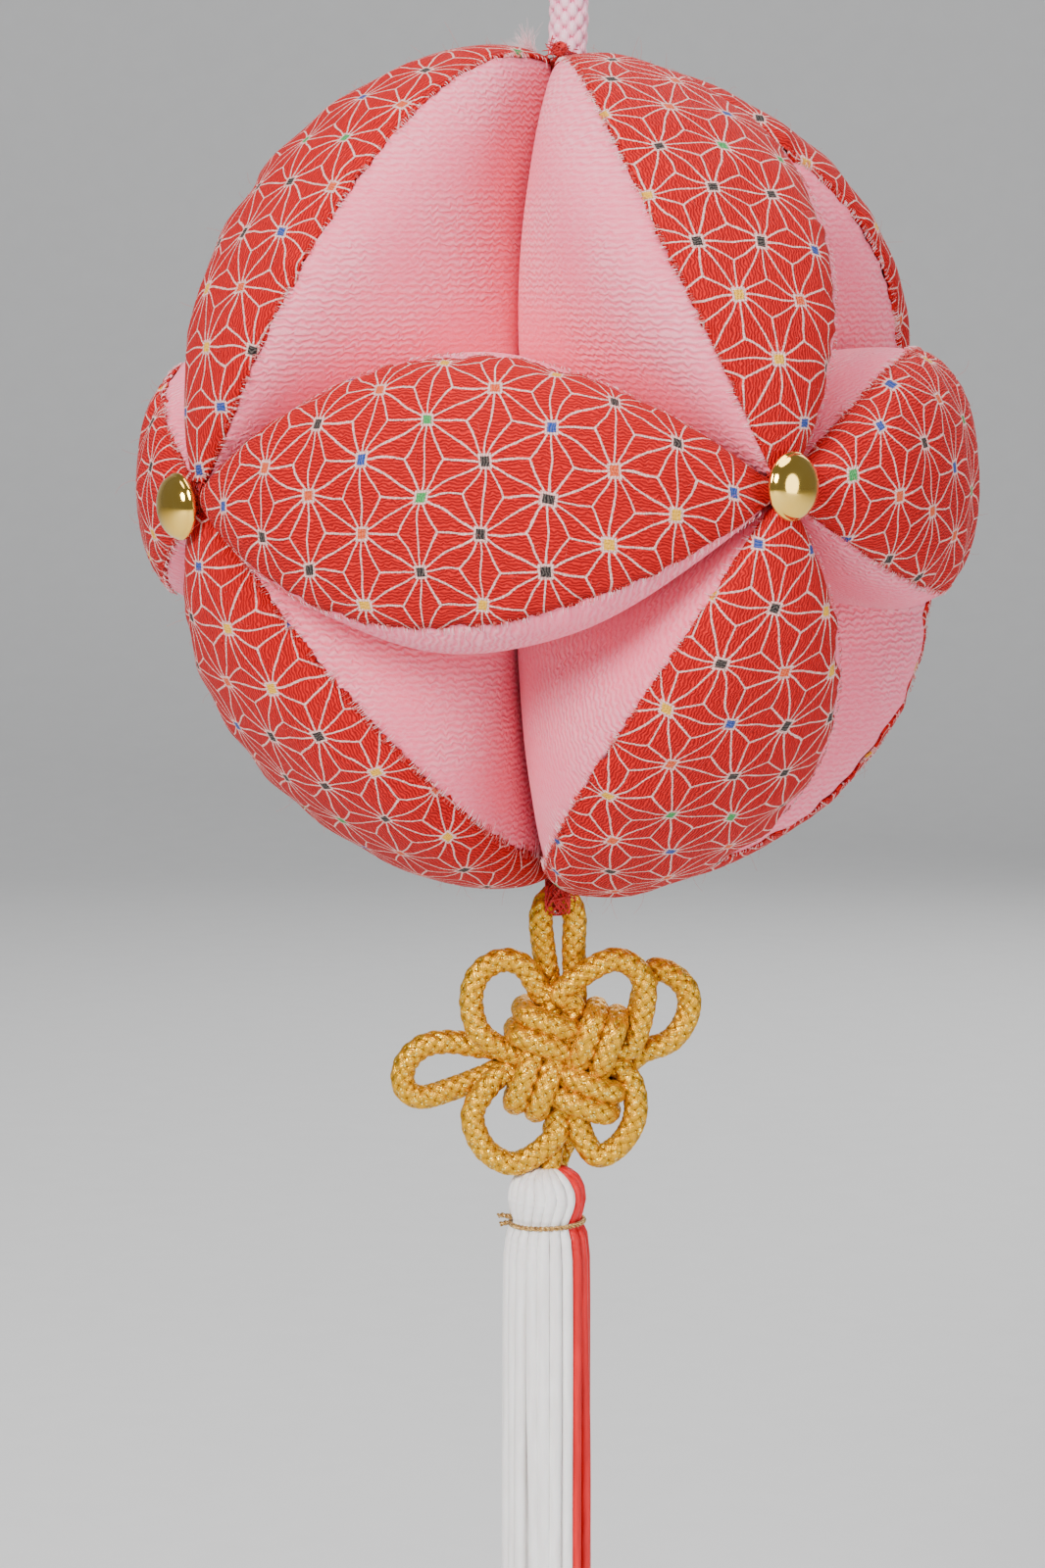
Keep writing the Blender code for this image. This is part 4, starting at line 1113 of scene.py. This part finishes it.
class TEMARI_OT_threads(bpy.types.Operator):
    """Makes the red sewing thread that lashes the wedge tips together"""

    bl_idname = "temari.threads"
    bl_label = "Lashing threads"

    def lay(self, name, routes, radius, around, *nodes):
        settle(many_tubes(name, routes, radius * MM, around, finish("thread")), "red_thread", *nodes)

    def execute(self, context):
        for number, corner in enumerate(CORNERS):
            tips = corner_frame(corner, 58.5 * MM)
            knob = coiled_threads(tips, 1.3 * MM, 1.2 * MM, 3, 9, 30 + number, 0.35)
            self.lay(f"lashing_threads_{corner}", knob, 0.20, 5, f"lashing_{corner}")
            reach, lift = (3.6 * MM, 2.2 * MM) if corner in ("top", "bottom") else (5.2 * MM, 1.2 * MM)
            cross = crossing_threads(corner_frame(corner, 61.5 * MM), reach, lift, 30, 50 + number)
            self.lay(f"pit_threads_{corner}", cross, 0.11, 4)
        heap = Matrix.Translation((0.1 * MM, -2.8 * MM, CENTRE_Z + 64.3 * MM)) @ Matrix.Rotation(1.2, 4, "X")
        turns = coiled_threads(heap, 0.7 * MM, 0.5 * MM, 2, 14, 71, 0.5)
        self.lay("foot_threads", turns, 0.12, 5, "thread_top")
        self.lay("heap_threads", crossing_threads(heap, 2.9 * MM, 1.0 * MM, 16, 72), 0.075, 4)
        spot = KNOT_CENTRE + Vector((-1.33, 0.2, 26.2)) * MM
        loop = Matrix.Translation(spot) @ Matrix.Rotation(pi / 2, 4, "Y")
        turns = coiled_threads(loop, 2.55 * MM, 1.9 * MM, 3, 14, 73, 0.34)
        self.lay("loop_threads", turns, 0.12, 5, "thread_bottom")
        spot = KNOT_CENTRE + Vector((-0.8, -2.6, 27.2)) * MM
        heap = Matrix.Translation(spot) @ Matrix.Rotation(1.3, 4, "X")
        self.lay("loop_heap", crossing_threads(heap, 2.9 * MM, 1.0 * MM, 30, 74), 0.10, 4)
        return {"FINISHED"}


# ---------------------------------------------------------------- cords


CORD_FOOT = Vector((0.0012, 0, CENTRE_Z + 0.0636))


def hang_route(radius):
    """Up from the ball, round the hanging loop, and back down beside the standing part."""
    beside = radius + 0.15 * MM
    foot = CORD_FOOT.z
    low, high = CENTRE_Z + 0.086, CENTRE_Z + 0.094
    half, top = 0.0105, 0.0
    widest, shoulder = top - half, half * sqrt(0.5)
    return [
        (0.0012, 0, foot), (0.0012, 0, foot + 0.0095), (-beside * 0.8, 0, low - 0.003), (-beside, 0, low),
        (-beside, 0, high + 0.001), (-beside - 0.003, 0, high + 0.006), (-half, 0, widest - 0.001),
        (-shoulder, 0, widest + shoulder), (0, 0, top), (shoulder, 0, widest + shoulder),
        (half, 0, widest - 0.001), (beside + 0.003, 0, high + 0.006), (beside, 0, high + 0.001),
        (beside, 0, low), (beside, 0, low - 0.0015),
    ]


def turned_point(u, v, y, quarter):
    """A point of the knot's core in its own turned frame, moved on by so many clockwise quarters."""
    for _ in range(quarter):
        u, v = v, -u
    x = u * cos(KNOT_TURN) - v * sin(KNOT_TURN)
    z = u * sin(KNOT_TURN) + v * cos(KNOT_TURN)
    return (x, y, z)


def core_pass(quarter, share):
    """One strand's way through the core, from behind at one side to in front at the same side.

    It runs behind the middle, round the far edge, and back over the front, at a fixed distance
    from the core's middle line.
    """
    u, w = share * CORE_SPAN, CORE_SPAN
    front, near, far, back = (layer * LAYER for layer in (-1.5, -0.5, 0.5, 1.5))
    stations = [(w + 1.5, far), (w * 0.5, far), (0, (far + back) / 2), (-w * 0.5, back),
                (-w - 0.6, back * 0.92), (-w - 1.9, back * 0.4), (-w - 1.9, front * 0.4),
                (-w - 0.6, front * 0.92), (-w * 0.5, front), (0, (front + near) / 2), (w * 0.5, near),
                (w + 1.5, near)]
    return [turned_point(u, v, y, quarter) for v, y in stations]


def knot_route():
    """The whole gold cord, from one end in the tassel's head, through the knot, to the other end."""
    outer, inner = -0.75, -0.25
    head = (TASSEL_X - KNOT_CENTRE.x) / MM
    drop = (CENTRE_Z - TASSEL_TOP - KNOT_CENTRE.z) / MM
    points = [(head + 0.2, -0.4, drop - 0.6), (head + 0.6, -0.2, drop + 2.4)] + core_pass(2, inner)
    points += EARS["lower_left"] + core_pass(3, outer)[::-1] + EARS["left"][::-1] + core_pass(3, inner)
    points += EARS["upper_left"][::-1] + core_pass(0, outer)[::-1] + EARS["top"] + core_pass(0, inner)
    points += EARS["upper_right"] + core_pass(1, outer)[::-1] + EARS["right"] + core_pass(1, inner)
    points += EARS["lower_right"] + core_pass(2, outer)[::-1]
    points += [(head + 2.2, 3.4, drop + 2.4), (head + 1.2, 3.2, drop - 0.6)]
    return [KNOT_CENTRE + Vector(point) * MM for point in points]


class TEMARI_OT_hanging_cord(bpy.types.Operator):
    """Makes the pink braided hanging cord and the whipping that closes its loop"""

    bl_idname = "temari.hanging_cord"
    bl_label = "Hanging cord"

    def execute(self, context):
        radius = context.scene.temari_sizes.cord_radius
        route = smooth_route(hang_route(radius), 0.20 * MM)
        cord = tube_piece("braided_cord", route, radius, 72, finish("braid"), braid_relief(PINK_BRAID))
        settle(turn_outwards(cord), "pink_cord", "hang_cord")
        offset, turns = radius + 0.15 * MM, 15
        angle = np.linspace(0, TURN * turns, 48 * turns)
        reach = radius + 0.42 * MM
        low, high = (CENTRE_Z + level for level in (0.0862, 0.0938))
        across = np.clip(np.cos(angle) * 4, -1, 1) * offset + reach * np.cos(angle)
        oval = np.stack([across, reach * np.sin(angle), low + (high - low) * angle / angle[-1]], -1)
        whipping = turn_outwards(tube_piece("loop_whipping", oval, 0.28 * MM, 6, finish("thread")))
        settle(whipping, "red_thread", "hang_whipping")
        return {"FINISHED"}


class TEMARI_OT_knot(bpy.types.Operator):
    """Makes the gold good-luck knot from one long braided cord"""

    bl_idname = "temari.knot"
    bl_label = "Gold knot"

    def execute(self, context):
        radius = context.scene.temari_sizes.knot_radius
        route = smooth_route(knot_route(), 0.34 * MM)
        cord = tube_piece("knotted_cord", route, radius, 40, finish("gold"), braid_relief(GOLD_BRAID))
        settle(turn_outwards(cord), "gold_cord", "gold_knot")
        return {"FINISHED"}


# ---------------------------------------------------------------- tassel


def tassel_outline(length):
    """(radius, drop below the tassel's top) of its head, neck and skirt, as a smooth profile."""
    drop = np.array([0, 0.6, 1.7, 3.2, 4.8, 6.4, 7.6, 8.3, 9.2, 10.7, 14, 20, 40, 70, length / MM])
    radius = np.array([2.2, 4.2, 5.3, 5.9, 6.05, 5.85, 5.55, 5.4, 5.75, 6.4, 6.65, 6.75, 6.85, 6.95, 7.1])
    return drop, radius


def tassel_steps(length):
    """Drops below the tassel's top, closer together over its head and neck, in millimetres."""
    return np.concatenate([np.linspace(0, 14, 34), np.linspace(14, length / MM, 46)[1:]])


def tassel_strands(count, inset, first, seed, length):
    """Routes of strands round the tassel, each in a half-plane that sways a little along its length."""
    random = np.random.default_rng(seed)
    drop, radius = tassel_outline(length)
    cut = random.uniform(-2.0, 0.6, (count, 1))
    steps = tassel_steps(length)
    drops = steps[None, :] + cut * (steps / steps[-1]) ** 2
    reach = np.interp(drops, drop, radius) - inset
    head = np.exp(-(((drops - 4) / 3.2) ** 2))
    below = np.clip((drops - 12) / 60, 0, 1)
    start = np.radians(first + np.arange(count) * 360 / count)[:, None]
    sway = random.normal(0, 1, (count, 1)) * np.sin(drops / 9 + random.uniform(0, 6, (count, 1)))
    sway *= 0.018 * (1 + below)
    angle = start + sway + head * 0.20 + random.normal(0, 0.05, (count, 1)) * below
    reach = reach + random.normal(0, 0.16, (count, 1)) * (0.3 + below)
    routes = np.stack([TASSEL_X + reach * MM * np.sin(angle), -reach * MM * np.cos(angle),
                       CENTRE_Z - TASSEL_TOP - drops * MM], -1)
    return routes, np.degrees(start[:, 0])


def strand_radius(length):
    """Strands are thick over the head, pressed thin at the neck, and full again below it."""
    steps = tassel_steps(length)
    full = np.interp(steps, [0, 2, 4.5, 7, 8.3, 9.7, 14, length / MM - 1, length / MM],
                     [0.50, 0.86, 0.98, 0.84, 0.76, 0.86, 1.04, 1.08, 0.95])
    return full * MM


class TEMARI_OT_tassel(bpy.types.Operator):
    """Makes the white and red tassel strands and the gold tie round its neck"""

    bl_idname = "temari.tassel"
    bl_label = "Tassel"

    def execute(self, context):
        sizes = context.scene.temari_sizes
        rings = [tassel_strands(sizes.tassel_strands, 0.75, TASSEL_SPLIT + 7, 80, sizes.tassel_length),
                 tassel_strands(18, 2.3, TASSEL_SPLIT + 10, 81, sizes.tassel_length),
                 tassel_strands(9, 4.1, TASSEL_SPLIT + 20, 82, sizes.tassel_length)]
        radius = strand_radius(sizes.tassel_length)
        for name, low, slot in (("white", 180, "white_strands"), ("red", 0, "red_strands")):
            chosen = []
            for routes, start in rings:
                side = (start - TASSEL_SPLIT) % 360
                chosen.append(routes[(side >= low) & (side < low + 180)])
            piece = many_tubes(f"strands_{name}", np.concatenate(chosen), radius, 8, finish(name))
            settle(piece, slot, f"tassel_{name}")
        self.tie_neck()
        return {"FINISHED"}

    def tie_neck(self):
        """Two plies twisted about a ring round the neck, with two short tails at the left."""
        angle = np.linspace(radians(-8), radians(368), 420)
        height = CENTRE_Z - TASSEL_TOP - NECK_DROP
        reach = 5.75 * MM
        tail = np.linspace(1, 0, 40)[:, None]
        ring = np.stack([TASSEL_X - reach * np.cos(angle), reach * np.sin(angle),
                         height + 0.5 * MM - 1.0 * MM * angle / (TURN)], -1)
        droop = np.sin(tail * 3) * np.array([0, 0, 0.2]) * MM
        lead_in = ring[0] + tail * np.array([-2.0, 0.7, 0.1]) * MM + droop
        lead_out = ring[-1] + tail[::-1] * np.array([-1.7, 0.5, -0.5]) * MM
        route = np.concatenate([lead_in[:-1], ring, lead_out[1:]])
        side, up = tube_frames(route)
        twist = lengths_along(route)[:, None] / (0.26 * MM)
        plies = [route + 0.20 * MM * (np.cos(twist + phase) * side + np.sin(twist + phase) * up)
                 for phase in (0, pi)]
        piece = many_tubes("neck_tie", np.array(plies), 0.24 * MM, 7, finish("wire"))
        settle(piece, "gold_wire", "tassel_tie")


# ---------------------------------------------------------------- stage


class TEMARI_OT_stage(bpy.types.Operator):
    """Makes the pale floor and wall, the soft lights and the camera"""

    bl_idname = "temari.stage"
    bl_label = "Stage"

    def execute(self, context):
        low = CAD_LOW[2] - 0.03
        bend = np.radians(np.linspace(0, 90, 24))
        curve = np.stack([1.3 + 0.6 * np.sin(bend), low + 0.6 - 0.6 * np.cos(bend)], 1)
        profile = np.concatenate([[(-2.2, low)], curve, [(1.9, low + 2.6)]])
        across = np.array([-2.6, 2.6])
        points = np.stack(np.broadcast_arrays(across[None, :], profile[:, :1], profile[:, 1:]), -1)
        quads = grid_faces(len(profile), 2, False)
        floor = make_piece("floor", points, quads, finish("floor"))

        for name, place, size, power, tint in (
            ("key_light", (-0.55, -0.95, 0.42), 0.55, 21.0, (1.0, 0.985, 0.97)),
            ("fill_light", (0.95, -0.75, -0.05), 0.9, 9.0, (0.97, 0.985, 1.0)),
            ("top_light", (0.05, -0.10, 0.85), 0.8, 9.0, (1.0, 1.0, 1.0)),
            ("back_light", (0.3, 1.0, 0.35), 0.9, 5.0, (1.0, 1.0, 1.0)),
            ("low_light", (-0.2, -0.9, -0.75), 0.8, 3.5, (1.0, 0.98, 0.97)),
        ):
            lamp = bpy.data.lights.new(name, "AREA")
            lamp.shape, lamp.size, lamp.energy, lamp.color = "DISK", size, power, tint
            holder = bpy.data.objects.new(name, lamp)
            holder.location = place
            towards_ball = Vector((0, 0, CENTRE_Z)) - Vector(place)
            holder.rotation_euler = towards_ball.to_track_quat("-Z", "Y").to_euler()
            context.scene.collection.objects.link(holder)
        world = bpy.data.worlds.new("studio")
        world.use_nodes = True
        glow = world.node_tree.nodes["Background"].inputs
        glow["Color"].default_value = (0.9, 0.93, 1.0, 1.0)
        glow["Strength"].default_value = 0.22
        context.scene.world = world

        lens = bpy.data.cameras.new("viewpoint")
        lens.sensor_fit, lens.sensor_height, lens.lens = "VERTICAL", 36.0, LENS
        lens.clip_start = 0.01
        camera = bpy.data.objects.new("viewpoint", lens)
        back, up = VIEW_DISTANCE * cos(VIEW_RISE), VIEW_DISTANCE * sin(VIEW_RISE)
        camera.location = (0, -back, CENTRE_Z + up)
        camera.rotation_euler = (pi / 2 - VIEW_PITCH, 0, VIEW_YAW)
        context.scene.collection.objects.link(camera)
        context.scene.camera = camera
        return {"FINISHED"}


class TEMARI_PT_finish(bpy.types.Panel):
    """Lists the ball's sizes, colours and pieces"""

    bl_label = "Temari Ball"
    bl_space_type = "VIEW_3D"
    bl_region_type = "UI"
    bl_category = "Temari"

    def draw(self, context):
        for settings in (context.scene.temari_sizes, context.scene.temari_colours):
            box = self.layout.box()
            for key in settings.__annotations__:
                box.prop(settings, key)
        for operator in OPERATORS:
            self.layout.operator(operator.bl_idname)


OPERATORS = (TEMARI_OT_stage, TEMARI_OT_hanging_cord, TEMARI_OT_knot, TEMARI_OT_wedges, TEMARI_OT_panels,
             TEMARI_OT_seams, TEMARI_OT_buttons, TEMARI_OT_threads, TEMARI_OT_tassel)
CLASSES = (TemariSizes, TemariColours, *OPERATORS, TEMARI_PT_finish)


def register():
    for item in CLASSES:
        bpy.utils.register_class(item)
    bpy.types.Scene.temari_sizes = PointerProperty(type=TemariSizes)
    bpy.types.Scene.temari_colours = PointerProperty(type=TemariColours)


def unregister():
    del bpy.types.Scene.temari_sizes, bpy.types.Scene.temari_colours
    for item in reversed(CLASSES):
        bpy.utils.unregister_class(item)


def main():
    register()
    for operator in OPERATORS:
        name = operator.bl_idname.split(".")[1]
        if getattr(bpy.ops.temari, name)() != {"FINISHED"}:
            raise RuntimeError(f"{operator.bl_label} did not finish")


if __name__ == "__main__":
    main()
